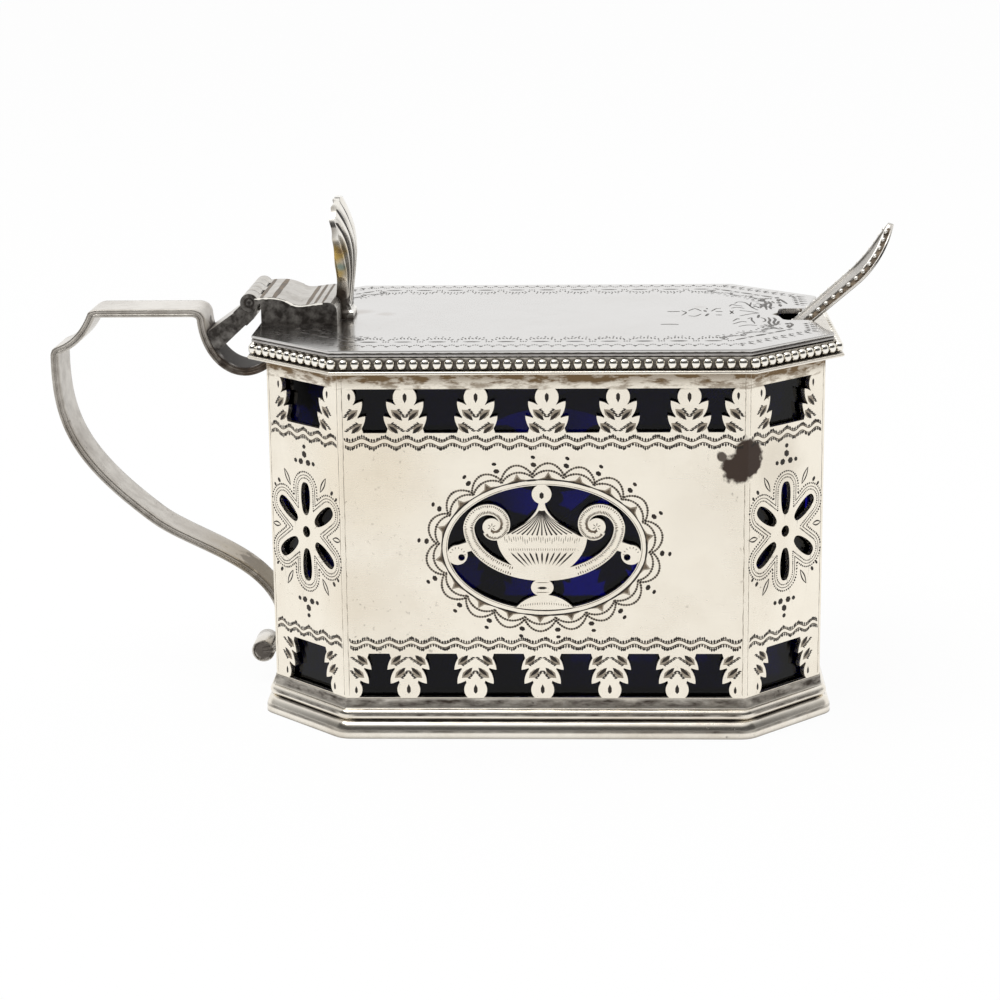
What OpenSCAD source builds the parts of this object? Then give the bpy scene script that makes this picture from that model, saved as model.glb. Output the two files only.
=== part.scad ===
// Eight-sided silver mustard pot with pierced walls, a hinged lid, a blue glass liner and a spoon.
// The origin is at the middle of the base, on the table. X runs from handle to spoon notch, Z is up.

/* [Body] */
// Length between the end walls, outside
body_l = 78; // [70:1:90]
// Depth between the front and back walls, outside
body_d = 53; // [48:1:60]
// Height from the table to the top of the rim
body_h = 54; // [48:1:62]
// Corner cut, measured along either wall
corner_cut = 11.2; // [9.5:0.1:13]
// Thickness of the wall sheet
wall_t = 0.7; // [0.5:0.05:1]
// Thickness of the base sheet
base_t = 0.9; // [0.6:0.1:1.4]
// How far the base sheet stands out under the walls
base_lip = 0.4; // [0.2:0.1:0.6]

/* [Pierced bands] */
// Plain strip between the top of the rim and the upper windows
top_strip = 4.55; // [4:0.05:6]
// Height of the upper windows
upper_window_h = 6.1; // [5.5:0.05:7.5]
// Plain strip between the foot and the lower windows
foot_strip = 0.15; // [0.1:0.05:2]
// Height of the lower windows
lower_window_h = 6.4; // [5.5:0.05:7.5]
// Spacing of the leaves in the upper band
upper_leaf_pitch = 9.65; // [8.5:0.05:11]
// Spacing of the leaves in the lower band
lower_leaf_pitch = 9.35; // [8.5:0.05:11]
// Shift of the upper leaves of a long wall to the right
upper_leaf_shift = 0.5; // [-1:0.05:1]
// Shift of the lower leaves of a long wall to the right
lower_leaf_shift = -0.35; // [-1:0.05:1]
// Distance from a corner to the half leaf beside it, on the long walls and the end walls
end_leaf_in = 0.65; // [0:0.05:1.5]
// Distance from a corner to the half leaf beside it, on the canted walls
cant_leaf_in = 1.8; // [0:0.05:2.5]
// Plain wall left on either side of the handle's strap
handle_pad = 1.5; // [1:0.1:3]
// Least distance from a corner to the next whole leaf
leaf_margin = 4; // [3.5:0.1:6]
// Length of a lower leaf blade
blade_l = 4.3; // [3.6:0.1:5]
// Length of an upper leaf blade
upper_blade_l = 4.1; // [3.6:0.1:4.6]
// Width of a leaf blade
blade_w = 1.6; // [1:0.1:2]
// Lean of a lower leaf blade from upright
blade_lean = 43; // [35:1:55]
// Lean of an upper leaf blade from upright
upper_blade_lean = 38; // [32:1:50]
// Rise from the lower to the upper pair of blades
blade_step = 1.95; // [1.4:0.05:2.4]
// Radius of the bud over the blades
bud_r = 1.6; // [1.2:0.05:2.2]
// How far the bud runs into the plain strip
bud_seat = 0.45; // [0.2:0.05:0.7]
// Half width of the leaf's core where it leaves the plain strip
core_foot = 2.6; // [1.6:0.1:3]
// Half width of the leaf's core at the bud
core_top = 1.2; // [0.8:0.1:1.5]

/* [Medallion] */
// Half length of the oval opening
oval_rx = 13.3; // [12:0.1:15]
// Half height of the oval opening
oval_rz = 8.85; // [8.2:0.05:10]
// How far the oval sits below the middle of the plain wall
medallion_drop = 0.5; // [0:0.1:1.5]
// Width of the scrolled arms
arm_w = 1.5; // [1.1:0.1:1.8]
// Gap from the oval's end to the middle of an arm
arm_gap = 2.95; // [2.6:0.05:3.2]
// Largest radius of an arm's scroll
scroll_r = 3.15; // [2.9:0.05:3.4]
// Shrink of the scroll for each quarter turn
scroll_step = 0.7; // [0.6:0.05:0.8]
// Radius of the scroll's eye
scroll_eye = 1.25; // [1.1:0.05:1.4]
// Rise from the foot of an arm to the middle of its scroll
arm_rise = 7.65; // [7:0.05:8]
// Radius of the small scrolls that tie the arms to the oval
side_scroll_r = 1.4; // [1.2:0.05:1.6]
// How far the small scrolls sit below the oval's middle
side_scroll_drop = 1; // [0.6:0.1:1.4]
// Shift of the urn to the left of the oval's middle
urn_shift = 0.3; // [0:0.05:0.5]
// Half width of the urn's bowl at its rim
bowl_rim = 6.2; // [5.4:0.1:6.6]
// Half width of the bowl at its foot
bowl_foot = 2.7; // [2:0.1:3.2]
// Height of the bowl
bowl_h = 4.8; // [4.4:0.1:5.4]
// Half width of the cover
cover_w = 5.3; // [4.4:0.1:5.8]
// Radius of the ball on the cover
ball_r = 1.35; // [1.1:0.05:1.7]
// Half width of the knob below the arms
knob_w = 1.55; // [1.1:0.05:2]
// Height of the knob
knob_h = 2.1; // [1.6:0.1:2.6]
// Half width of the domed base
dome_w = 4.2; // [3.2:0.1:4.8]
// Height of the domed base over the oval
dome_h = 2.05; // [1.6:0.05:2.5]

/* [Corner flowers] */
// Distance from the flower's middle to a petal
petal_start = 2.4; // [2.1:0.1:2.8]
// Length of a petal
petal_l = 4.7; // [4:0.1:5.2]
// Width of a petal
petal_w = 2.15; // [1.6:0.05:2.4]
// Radius of the hole in the flower's middle
flower_eye_r = 0.8; // [0.5:0.05:1]
// Angle from an upright petal to the next one
petal_spread = 55; // [52:1:62]
// How far the flowers sit above the middle of the plain wall
flower_rise = 0.4; // [0:0.1:1]

/* [Foot and rim] */
// Height of the foot moulding
foot_h = 5.4; // [5.2:0.1:7]
// How far the foot's plinth stands out from the walls
foot_reach = 1.6; // [1.3:0.1:2.4]
// Height of the foot's rounded plinth
plinth_h = 2.4; // [2:0.05:2.6]
// Height of the plinth's upright edge
plinth_edge = 0.5; // [0.3:0.05:0.8]
// Height of the reed over the plinth
reed_h = 1.6; // [1.3:0.05:1.8]
// How far the reed stands out from the walls
reed_reach = 1; // [0.95:0.05:1.2]
// How far the rim's fillet stands out from the walls
rim_reach = 2.5; // [2.2:0.1:3]
// Height of the rim, from the fillet's underside to its top
rim_h = 2.2; // [2:0.05:2.6]
// Part of the rim that lies over the wall's top edge
rim_cap = 1; // [0.6:0.1:1.2]
// Thickness of the rim's fillet
fillet_t = 0.5; // [0.4:0.05:0.6]
// Radius of a bead
bead_r = 0.73; // [0.6:0.01:0.78]
// Spacing of the beads, about
bead_pitch = 1.6; // [1.5:0.05:2]
// Radius of the wire between two beads
bead_neck = 0.3; // [0.26:0.02:0.44]
// Depth of a bead's flat back behind its middle
bead_back = 0.2; // [0.1:0.05:0.3]

/* [Lid] */
// Thickness of the lid's plate
lid_t = 0.85; // [0.7:0.05:1.2]
// How far the lid stands out from the walls
lid_reach = 1.5; // [1.1:0.1:1.7]
// How far the lid sits towards the handle
lid_shift = 0.4; // [0:0.1:0.6]
// Gap between the closed lid and the rim
lid_gap = 0.15; // [0.1:0.05:0.3]
// Depth of the line round the lid's edge
edge_line_d = 0.25; // [0.15:0.05:0.4]
// Height of the line round the lid's edge
edge_line_h = 0.14; // [0.1:0.02:0.2]
// Depth of the spoon notch from the lid's end to its point
notch_l = 7.6; // [7:0.1:8.5]
// Length of the notch's point
notch_point = 1.3; // [0.8:0.1:1.6]
// Length of the notch's flared mouth
notch_flare = 2.9; // [2:0.1:3.5]
// Width of the notch
notch_w = 10; // [9.6:0.1:11]
// Size of the notch's corners
notch_corner = 0.6; // [0.3:0.1:0.8]
// Width of the flared mouth
mouth_w = 30; // [26:0.5:30]

/* [Hinge] */
// Distance from the end wall to the hinge pin
hinge_out = 3.1; // [2.8:0.1:3.6]
// Height of the pin over the lid's top
hinge_up = 3.4; // [3:0.1:4]
// Radius of the knuckles
knuckle_r = 1.3; // [1.1:0.05:1.4]
// Length of the whole barrel
barrel_l = 17; // [15:0.5:20]
// Gap between two knuckles
knuckle_gap = 0.12; // [0.08:0.02:0.3]
// Radius of the hinge pin
pin_r = 0.5; // [0.35:0.05:0.6]
// Radial clearance of the pin in the knuckles
pin_clear = 0.05; // [0.02:0.01:0.1]
// Space between a knuckle and the plate beside it
knuckle_clear = 0.3; // [0.2:0.05:0.5]
// Thickness of the hinge leaf's strap
leaf_t = 0.9; // [0.6:0.05:1.2]
// Length of the hinge leaf from the pin to its foot
leaf_l = 12.05; // [11.5:0.05:13]
// Height of the hinge leaf over the lid at its foot
leaf_rise = 3.4; // [3:0.1:3.6]
// Size of the turn where the leaf bends down to its foot
leaf_turn = 1; // [0.6:0.1:1.4]
// Thickness of the cheeks at the hinge leaf's ends
cheek_t = 0.7; // [0.5:0.05:1]
// Thickness of the arm that carries the fixed knuckles
hinge_arm_t = 2.4; // [1.8:0.1:2.6]
// Slope of that arm
arm_slope = 44; // [42:1:46]
// How far the arm's middle passes below the pin
arm_drop = 0.8; // [0.6:0.05:1]
// Length of the collar at the arm's end
collar_l = 1.4; // [1:0.1:1.6]
// How far the collar stands out from the arm
collar_lip = 0.15; // [0.1:0.05:0.3]

/* [Thumbpiece] */
// Height of the thumbpiece over the lid
thumb_h = 17.4; // [14:0.1:20]
// Half width of the shell
thumb_w = 6.3; // [5:0.1:7.5]
// Half width of the stem
thumb_stem_w = 2.3; // [1.8:0.1:3]
// Thickness of the thumbpiece at its foot
thumb_t = 1.3; // [1:0.1:1.6]
// Half width of the shell's tip
thumb_tip_w = 1.2; // [0.8:0.1:1.6]
// Thickness of the shell at its tip
thumb_tip_t = 0.95; // [0.7:0.05:1.2]
// Share of the height at which the stem begins to widen
thumb_neck = 0.15; // [0.1:0.01:0.3]
// Share of the height at which the shell is widest
thumb_wide = 0.78; // [0.6:0.01:0.85]
// How far the shell swells away from the handle
thumb_swell = 0.95; // [0.6:0.05:1.6]
// How far the top leans towards the handle
thumb_lean = 1.1; // [0.5:0.1:2]
// How far the shell's edges curl towards the handle
thumb_curl = 1.4; // [0.8:0.1:2]
// Number of flutes
thumb_flutes = 7; // [5:2:11]
// Depth of the flutes
flute_d = 0.4; // [0.1:0.05:0.5]

/* [Handle] */
// Distance from the end wall to the far side of the grip
grip_out = 32.35; // [30:0.05:35]
// Thickness of the strap
strap_t = 1.15; // [0.9:0.05:1.4]
// Width of the strap at the top
strap_w = 8.6; // [7.5:0.1:9.5]
// Width of the strap at its lower end
strap_end_w = 6; // [5:0.1:7]
// Height of the flat top over the rim
rest_up = 2.2; // [1.6:0.1:2.8]
// Length of the flat top
rest_l = 15.8; // [14.5:0.1:17]
// Distance from the end wall to the flat top
rest_gap = 10.8; // [10:0.1:11.5]
// Drop from the flat top to the shoulder
shoulder_drop = 5.5; // [4.8:0.1:6.2]
// Drop from the rim's top to the upper joint
joint_drop = 3.95; // [3.6:0.05:4.4]
// Sag of the upper bow's pull below its joint
bow_sag = 5.3; // [4.8:0.1:5.6]
// Distance from the grip to the waist of the lower curve
waist_in = 13.3; // [12.5:0.1:14]
// Drop from the shoulder to the waist
waist_drop = 25.3; // [23:0.1:26]
// Slope of the strap at the waist
waist_slope = 38.4; // [36:0.2:41]
// Height of the lower joint over the table
lower_joint_h = 9; // [8.4:0.1:10]
// Radius of the lobe at the lower end
lobe_r = 1.7; // [1.5:0.05:1.9]
// Distance from the end wall to the lobe's middle
lobe_out = 3.6; // [3.3:0.1:4]
// Height of the lobe's middle over the table
lobe_h = 5; // [4.6:0.1:5.4]

/* [Glass liner] */
// Thickness of the glass
glass_t = 1.8; // [1.4:0.1:2.4]
// Thickness of the glass floor
glass_floor = 2.4; // [1.8:0.1:3.2]
// Gap between the glass and the walls
glass_gap = 0.4; // [0.3:0.05:0.8]
// Headroom between the glass and the closed lid
glass_headroom = 1.95; // [1.8:0.05:3]

/* [Spoon] */
// Slope of the spoon in the pot
spoon_slope = 41; // [39:0.5:43]
// Gap between the spoon and the glass it leans on
spoon_gap = 0.3; // [0.2:0.05:0.5]
// Length of the bowl
spoon_bowl_l = 17; // [14:0.5:20]
// Half width of the bowl
spoon_bowl_w = 6.4; // [5:0.1:7.5]
// Depth of the bowl
spoon_bowl_d = 3.6; // [2.5:0.1:4.5]
// Half width of the stem at the bowl
spoon_stem_w = 1.6; // [1.2:0.1:2]
// Half width of the handle at its widest
spoon_grip_w = 4.6; // [3.6:0.1:4.8]
// Length of the handle's rounded tip
spoon_tip_l = 9; // [6:0.5:11]
// Thickness of the spoon
spoon_t = 1.2; // [0.9:0.1:1.5]
// Share of that thickness lost at the handle's edges
spoon_edge = 0.35; // [0.2:0.05:0.5]
// Thickness of the bowl's sheet
spoon_bowl_t = 0.8; // [0.6:0.05:1]
// Height of the bowl's tip over the glass floor
spoon_tip_up = 0.5; // [0.3:0.05:1]
// Straight length of the handle outside the glass
spoon_straight = 11; // [9:0.5:14]
// Radius of the bend near the handle's tip
spoon_bend_r = 18.5; // [14:0.5:24]
// Turn of that bend
spoon_bend = 31; // [20:1:40]

/* [Hidden] */
$fn = 64;
silver = "silver";
cobalt = [0.05, 0.06, 0.35];

// A margin by which cuts run past what they cut
spare = 1;

// Gap left for solder between two pieces that stand side by side
solder_gap = 0.05;

// Overlap that ties two strokes of a drawing together
tie = 0.1;

// Sides of the octagon, counted from the front left corner cut
side_front_left = 0;
side_front = 1;
side_front_right = 2;
side_right = 3;
side_back_right = 4;
side_back = 5;
side_back_left = 6;
side_left = 7;

// Corners of the body's octagon, moved out by o
function corners(o) =
    let (a = body_l / 2 + o)
    let (b = body_d / 2 + o)
    let (c = corner_cut + o * (2 - sqrt(2)))
    [[-a, c - b], [c - a, -b], [a - c, -b], [a, c - b], [a, b - c], [a - c, b], [c - a, b], [-a, b - c]];
function side_turn(i) = 45 * (i - side_front);
function side_middle(i, o) = (corners(o)[i] + corners(o)[(i + 1) % 8]) / 2;
function side_length(i, o) = norm(corners(o)[i] - corners(o)[(i + 1) % 8]);

// Draws in a side's own frame: x to the right along the wall, y up, z outwards
module on_side(i) {
    place = side_middle(i, 0);
    translate([place.x, place.y, 0]) rotate([0, 0, side_turn(i)]) rotate([90, 0, 0]) children();
}

// Plan of one side between the mitres at its two ends
module side_wedge(i, inner, outer) {
    near = corners(outer);
    far = corners(inner);
    j = (i + 1) % 8;
    polygon([near[i], near[j], far[j], far[i]]);
}

// A solid octagon whose eight sides carry one profile: x outwards from the wall, y up.
// The profile reaches in as far as deep, past the wall on the other side
deep = 2 * body_l;
module moulded_octagon() {
    intersection_for (i = [0 : 7]) on_side(i) rotate([0, -90, 0])
        linear_extrude(deep, center = true) children();
}

// Room inside a moulding, between two heights
module inner_room(o, z0, z1) {
    translate([0, 0, z0]) linear_extrude(z1 - z0) polygon(corners(o));
}

// A strip with a thickness of its own at each point of its path
function unit(v) = v / norm(v);
function step_dir(p, i) = unit(p[min(i + 1, len(p) - 1)] - p[min(i, len(p) - 2)]);
function mitre(p, i) =
    let (d0 = step_dir(p, max(i - 1, 0)))
    let (d1 = step_dir(p, i))
    let (n = unit([-d0.y - d1.y, d0.x + d1.x]))
    n / max(0.5, n * [-d1.y, d1.x]);
function strip_outline(p, half) = concat(
    [for (i = [0 : len(p) - 1]) p[i] + mitre(p, i) * half[i]],
    [for (i = [len(p) - 1 : -1 : 0]) p[i] - mitre(p, i) * half[i]]);
module strip(p, half) {
    polygon(strip_outline(p, half));
}
function bezier(c, t) = pow(1 - t, 3) * c[0] + 3 * pow(1 - t, 2) * t * c[1]
    + 3 * (1 - t) * t * t * c[2] + pow(t, 3) * c[3];
function curve(c, n, first = 0) = [for (k = [first : n]) bezier(c, k / n)];
function level(p, value) = [for (q = p) value];

// Heights
upper_window_top = body_h - top_strip;
upper_window_foot = upper_window_top - upper_window_h;
lower_window_foot = foot_h + foot_strip;
lower_window_top = lower_window_foot + lower_window_h;
plain_middle = (upper_window_foot + lower_window_top) / 2;
wall_top = body_h - rim_cap;
lid_z = body_h + lid_gap;
lid_top = lid_z + lid_t;
end_x = body_l / 2;

// A pointed blade along +Y from the origin
module blade(length, width) {
    r = (pow(length, 2) + pow(width, 2)) / (4 * width);
    translate([0, length / 2]) intersection() {
        translate([r - width / 2, 0]) circle(r);
        translate([width / 2 - r, 0]) circle(r);
    }
}

// One leaf, growing up from y = 0 to a plain strip at y = window_h
module leaf(window_h) {
    bud_y = window_h + bud_seat - bud_r;
    translate([0, bud_y]) circle(bud_r);
    for (s = [-1, 1]) {
        translate([0, -blade_w / 2]) rotate(-s * blade_lean) blade(blade_l, blade_w);
        translate([0, blade_step - blade_w / 2]) rotate(-s * upper_blade_lean)
            blade(upper_blade_l, blade_w);
    }
    polygon([[-core_foot, -spare], [core_foot, -spare], [core_foot, 0], [core_top, bud_y - bud_r / 2],
             [-core_top, bud_y - bud_r / 2], [-core_foot, 0]]);
}

// Whole leaves across a long wall, with one near the middle
function leaf_row(width, pitch, shift) =
    let (last = width / 2 - leaf_margin)
    [for (k = [-9 : 9]) if (abs(k * pitch + shift) <= last) k * pitch + shift];

// Whole leaves at even steps between the half leaves of a short wall
function even_row(width, pitch) =
    let (count = max(1, round(width / pitch)))
    [for (k = [1 : 1 : count - 1]) (k / count - 0.5) * width];

// The open windows of one band, from its foot up, between leaves at the places given
module band(width, window_h, places) {
    difference() {
        translate([-width / 2, 0]) square([width, window_h]);
        for (x = concat([-width / 2, width / 2], places)) translate([x, 0]) leaf(window_h);
    }
}

// Two bands of windows with leaves at the places given
module both_bands(width, upper_places, lower_places) {
    translate([0, upper_window_foot]) band(width, upper_window_h, upper_places);
    translate([0, lower_window_top]) mirror([0, 1]) band(width, lower_window_h, lower_places);
}

// Bands of a long wall and of a short one, with half leaves at a distance from the corners
module long_bands(i) {
    width = side_length(i, 0) - 2 * end_leaf_in;
    both_bands(width, leaf_row(width, upper_leaf_pitch, upper_leaf_shift),
               leaf_row(width, lower_leaf_pitch, lower_leaf_shift));
}

module short_bands(i, leaf_in) {
    width = side_length(i, 0) - 2 * leaf_in;
    both_bands(width, even_row(width, upper_leaf_pitch), even_row(width, lower_leaf_pitch));
}

// Urn in the oval, drawn about the oval's middle
function ellipse(rx, ry, a0, a1, n) = [for (k = [0 : n])
    let (a = a0 + (a1 - a0) * k / n) [rx * cos(a), ry * sin(a)]];
function whole_ellipse(rx, ry, n) = [for (k = [0 : n - 1]) [rx * cos(360 * k / n), ry * sin(360 * k / n)]];
module oval() {
    polygon(whole_ellipse(oval_rx, oval_rz, 96));
}

dome_top = dome_h - oval_rz;
arm_foot = dome_top + knob_h;
bowl_foot_z = arm_foot + arm_w;
bowl_top = bowl_foot_z + bowl_h;
ball_z = oval_rz - ball_r + tie;
cover_top = ball_z - ball_r + 3 * tie;
arm_end_x = oval_rx - arm_gap;
arm_end_z = arm_foot + arm_rise;

module scrolled_arm() {
    sweep = [for (p = ellipse(arm_end_x, arm_rise - arm_w / 2, 270, 360, 20)) p + [0, arm_end_z]];
    scroll_x = arm_end_x - scroll_r;
    curl = [for (a = [10 : 10 : 310])
        [scroll_x, arm_end_z] + (scroll_r - scroll_step * a / 90) * [cos(a), sin(a)]];
    path = concat(sweep, curl);
    strip(path, level(path, arm_w / 2));
    translate([scroll_x, arm_end_z]) circle(scroll_eye);
}

// A small scroll with a pierced eye, and the neck that joins it to an arm
module side_scroll() {
    r = side_scroll_r;
    translate([oval_rx - r + tie / 2, -side_scroll_drop]) difference() {
        union() {
            circle(r);
            polygon([[0, r], [-1.7 * r, 1.55 * r], [-1.9 * r, 0.6 * r], [0, 0]]);
        }
        translate([-0.4 * r, -0.25 * r]) circle(r / 3);
    }
}

// Bowl and cover as one outline, with a ball above and a knob below
module vase() {
    steps = 12;
    neck_w = 0.4;
    bowl = [for (k = [0 : steps]) let (t = k / steps)
        [bowl_foot + (bowl_rim - bowl_foot) * pow(1 - pow(1 - t, 2), 0.85),
         bowl_foot_z - 3 * tie + (bowl_h + 3 * tie) * t]];
    cover = [for (k = [0 : steps]) let (t = k / steps)
        [neck_w + (cover_w - neck_w) * pow(1 - t, 1.9), bowl_top + (cover_top - bowl_top) * t]];
    right = concat(bowl, cover);
    polygon(concat(right, [for (k = [len(right) - 1 : -1 : 0]) [-right[k].x, right[k].y]]));
    translate([0, ball_z]) circle(ball_r);
    translate([0, arm_foot - knob_h / 2 + tie])
        polygon(whole_ellipse(knob_w, knob_h / 2 + 2 * tie, 36));
}

// Segment of a circle on the oval's foot
module dome() {
    rise = dome_h + tie;
    dome_r = (pow(dome_w, 2) + pow(rise, 2)) / (2 * rise);
    intersection() {
        translate([0, rise - oval_rz - dome_r]) circle(dome_r);
        translate([-dome_w, -oval_rz - spare]) square([2 * dome_w, rise + spare + tie]);
    }
}

module urn() {
    translate([-urn_shift, 0]) vase();
    dome();
    for (s = [0, 1]) mirror([s, 0]) {
        scrolled_arm();
        side_scroll();
    }
}

module medallion() {
    difference() {
        oval();
        urn();
    }
}

// Six petals and an eye
module flower() {
    n = 16;
    half = [for (k = [0 : n]) let (t = (1 - cos(180 * k / n)) / 2)
        [petal_w / 2 * pow(sin(180 * k / n), 0.7) * (0.82 + 0.2 * t), petal_start + petal_l * t]];
    petal = concat(half, [for (k = [n - 1 : -1 : 1]) [-half[k].x, half[k].y]]);
    for (turn = [0, 180], k = [-1 : 1]) rotate(turn + k * petal_spread) polygon(petal);
    circle(flower_eye_r);
}

// One wall: a mitred plate with a drawing cut through it
module wall(i) {
    difference() {
        translate([0, 0, base_t]) linear_extrude(wall_top - base_t) side_wedge(i, -wall_t, 0);
        on_side(i) translate([0, 0, -2 * wall_t]) linear_extrude(4 * wall_t) children();
    }
}

module long_wall(i) {
    wall(i) {
        long_bands(i);
        translate([0, plain_middle - medallion_drop]) medallion();
    }
}

module corner_wall(i) {
    wall(i) {
        short_bands(i, cant_leaf_in);
        translate([0, plain_middle + flower_rise]) flower();
    }
}

module base_plate() {
    color(silver) linear_extrude(base_t) polygon(corners(base_lip));
}

// Outlines of mouldings: x outwards from the wall, y up
function arc(middle, r, a0, a1, n) = [for (k = [0 : n])
    let (a = a0 + (a1 - a0) * k / n) middle + r * [cos(a), sin(a)]];
function half_round(reach, z, height) =
    arc([reach - height / 2, z + height / 2], height / 2, -90, 90, 10);

// One layer of the foot round the body, with a tongue that sinks into the layer below
module foot_layer(outline, z0, z1) {
    root_x = outline[0].x - 2 * tie;
    sink = z0 > 0 ? tie : 0;
    difference() {
        moulded_octagon()
            polygon(concat([[-deep, z0 - sink], [root_x, z0 - sink]], outline, [[-deep, z1]]));
        inner_room(0, z0 - spare, z1 + spare);
    }
}

// The foot: a rounded plinth, a reed and a hollow that runs up to the wall
module foot_moulding() {
    hollow_z = plinth_h + reed_h;
    shoulder_x = reed_reach - reed_h / 2 + 2 * tie;
    plinth = concat([[foot_reach, 0]],
        [for (k = [0 : 10]) let (a = 9 * k) [shoulder_x + (foot_reach - shoulder_x) * cos(a),
                                             plinth_edge + (plinth_h - plinth_edge) * sin(a)]]);
    hollow = [for (k = [0 : 8]) let (a = 90 * k / 8)
        [tie + (shoulder_x - tie) * (1 - sin(a)), foot_h - (foot_h - hollow_z) * cos(a)]];
    color(silver) difference() {
        union() {
            foot_layer(plinth, 0, plinth_h);
            foot_layer(half_round(reed_reach, plinth_h, reed_h), plinth_h, hollow_z);
            foot_layer(hollow, hollow_z, foot_h);
        }
        inner_room(base_lip, -spare, base_t);
    }
}

bead_seat = rim_reach - bead_r - bead_r / 2;
bead_z = body_h - bead_r - tie;

// Profile of the rim: a thin rounded fillet below and a flat face behind the beads
module rim_profile() {
    z0 = body_h - rim_h;
    polygon(concat([[-deep, z0]], half_round(rim_reach, z0, fillet_t),
        [[bead_seat, z0 + fillet_t], [bead_seat, body_h], [-deep, body_h]]));
}

module rim_moulding() {
    color(silver) difference() {
        moulded_octagon() rim_profile();
        inner_room(0, body_h - rim_h - spare, wall_top);
        inner_room(-wall_t, wall_top - spare, body_h + spare);
    }
}

// Half outline of a beaded wire between two corner beads, x being its radius
module bead_outline(length, count) {
    intersection() {
        union() {
            for (k = [1 : count - 1]) translate([0, (k / count - 0.5) * length]) circle(bead_r);
            translate([0, -length / 2]) square([bead_neck, length]);
        }
        translate([0, -length / 2]) square([2 * bead_r, length]);
    }
}

module bead_wire() {
    middle = bead_seat + bead_back;
    color(silver) difference() {
        union() {
            for (i = [0 : 7]) {
                length = side_length(i, middle);
                on_side(i) translate([0, bead_z, middle]) rotate([0, 90, 0])
                    rotate_extrude() bead_outline(length, round(length / bead_pitch));
            }
            for (c = corners(middle))
                translate([c.x, c.y, bead_z]) rotate([0, 0, atan2(c.y, c.x)]) sphere(bead_r);
        }
        inner_room(bead_seat, body_h - rim_h, body_h + spare);
    }
}

// The handle's middle line in the XZ plane, from the upper joint to the lobe
rest_z = body_h + rest_up;
rest_in = -end_x - rest_gap;
rest_out = rest_in - rest_l;
grip_x = -end_x - grip_out;
shoulder_z = rest_z - shoulder_drop;
joint_z = body_h - joint_drop;
strap_x = -end_x - strap_t / 2;
waist = [grip_x + waist_in, shoulder_z - waist_drop];
waist_dir = [cos(waist_slope), -sin(waist_slope)];
lobe_at = [-end_x - lobe_out, lobe_h];
function bow_pull(across, drop) = [-end_x - across * rest_gap, joint_z - drop];
bow_path = concat(
    [bow_pull(-0.1, -0.1 * bow_sag)],
    curve([[-end_x, joint_z], bow_pull(0.43, bow_sag), bow_pull(0.94, 0.26 * bow_sag),
           [rest_in, rest_z - 0.25 * shoulder_drop]], 20),
    [[rest_in, rest_z]]);
shoulder_path = curve([[rest_out, rest_z], [rest_out - 0.11 * shoulder_drop, rest_z - 0.26 * shoulder_drop],
    [rest_out - 0.37 * shoulder_drop, shoulder_z + 0.16 * shoulder_drop], [grip_x, shoulder_z]], 6);
grip_path = curve([[grip_x, shoulder_z], [grip_x - 0.03 * waist_in, shoulder_z - 0.42 * waist_drop],
    waist - 1.11 * waist_in * waist_dir, waist], 20, 1);
foot_fall = waist.y - lower_joint_h;
foot_path = curve([waist, waist + 0.53 * waist_in * waist_dir, [strap_x, waist.y - 0.41 * foot_fall],
    [strap_x, lower_joint_h]], 24, 1);
tail_path = curve([[strap_x, lower_joint_h], [strap_x, lobe_h + lobe_r], [strap_x - lobe_r / 2, lobe_h],
    lobe_at], 10, 1);
handle_path = concat(bow_path, shoulder_path, grip_path, foot_path, tail_path);

module handle_outline() {
    difference() {
        strip(handle_path, level(handle_path, strap_t / 2));
        translate([-end_x, 0]) square([end_x, body_h]);
    }
}

// Draws in the XZ plane and gives it a width across Y
module across(y0, y1) {
    translate([0, y1, 0]) rotate([90, 0, 0]) linear_extrude(y1 - y0) children();
}

module handle() {
    reach = grip_out + spare;
    top = rest_z + spare;
    wide = strap_w / 2;
    narrow = strap_end_w / 2;
    color(silver) intersection() {
        union() {
            across(-wide, wide) handle_outline();
            across(-wide, wide) translate(lobe_at) circle(lobe_r);
        }
        translate([-end_x - reach, 0, 0]) rotate([90, 0, 90]) linear_extrude(reach) polygon([
            [-narrow, 0], [narrow, 0], [wide, joint_z], [wide, top], [-wide, top], [-wide, joint_z]]);
    }
}

// Hinge
pin_x = -end_x - hinge_out;
pin_z = lid_top + hinge_up;
knuckle_l = barrel_l / 5;
function knuckle_start(k) = -barrel_l / 2 + k * knuckle_l + (k > 0 ? knuckle_gap / 2 : 0);
function knuckle_end(k) = -barrel_l / 2 + (k + 1) * knuckle_l - (k < 4 ? knuckle_gap / 2 : 0);
fixed_knuckles = [1, 3];
lid_knuckles = [0, 2, 4];

module at_pin() {
    translate([pin_x, pin_z]) children();
}

module pin_hole() {
    across(-barrel_l / 2 - spare, barrel_l / 2 + spare) at_pin() circle(pin_r + pin_clear);
}

module knuckles(which) {
    for (k = which) across(knuckle_start(k), knuckle_end(k)) at_pin() circle(knuckle_r);
}

// Room that the other part's knuckles need in a plate
module knuckle_room(which) {
    for (k = which) across(knuckle_start(k) - knuckle_gap, knuckle_end(k) + knuckle_gap)
        at_pin() circle(knuckle_r + knuckle_clear);
}

// Draws in the hinge arm's frame: x along the arm to the pin, y across it
module along_arm() {
    at_pin() rotate(arm_slope) translate([0, -arm_drop]) children();
}
collar_end = -knuckle_r - 2 * knuckle_clear;
collar_start = collar_end - collar_l;
arm_half = hinge_arm_t / 2;
collar_half = arm_half + collar_lip;
arm_width = strap_w - 2 * collar_lip;

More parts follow.
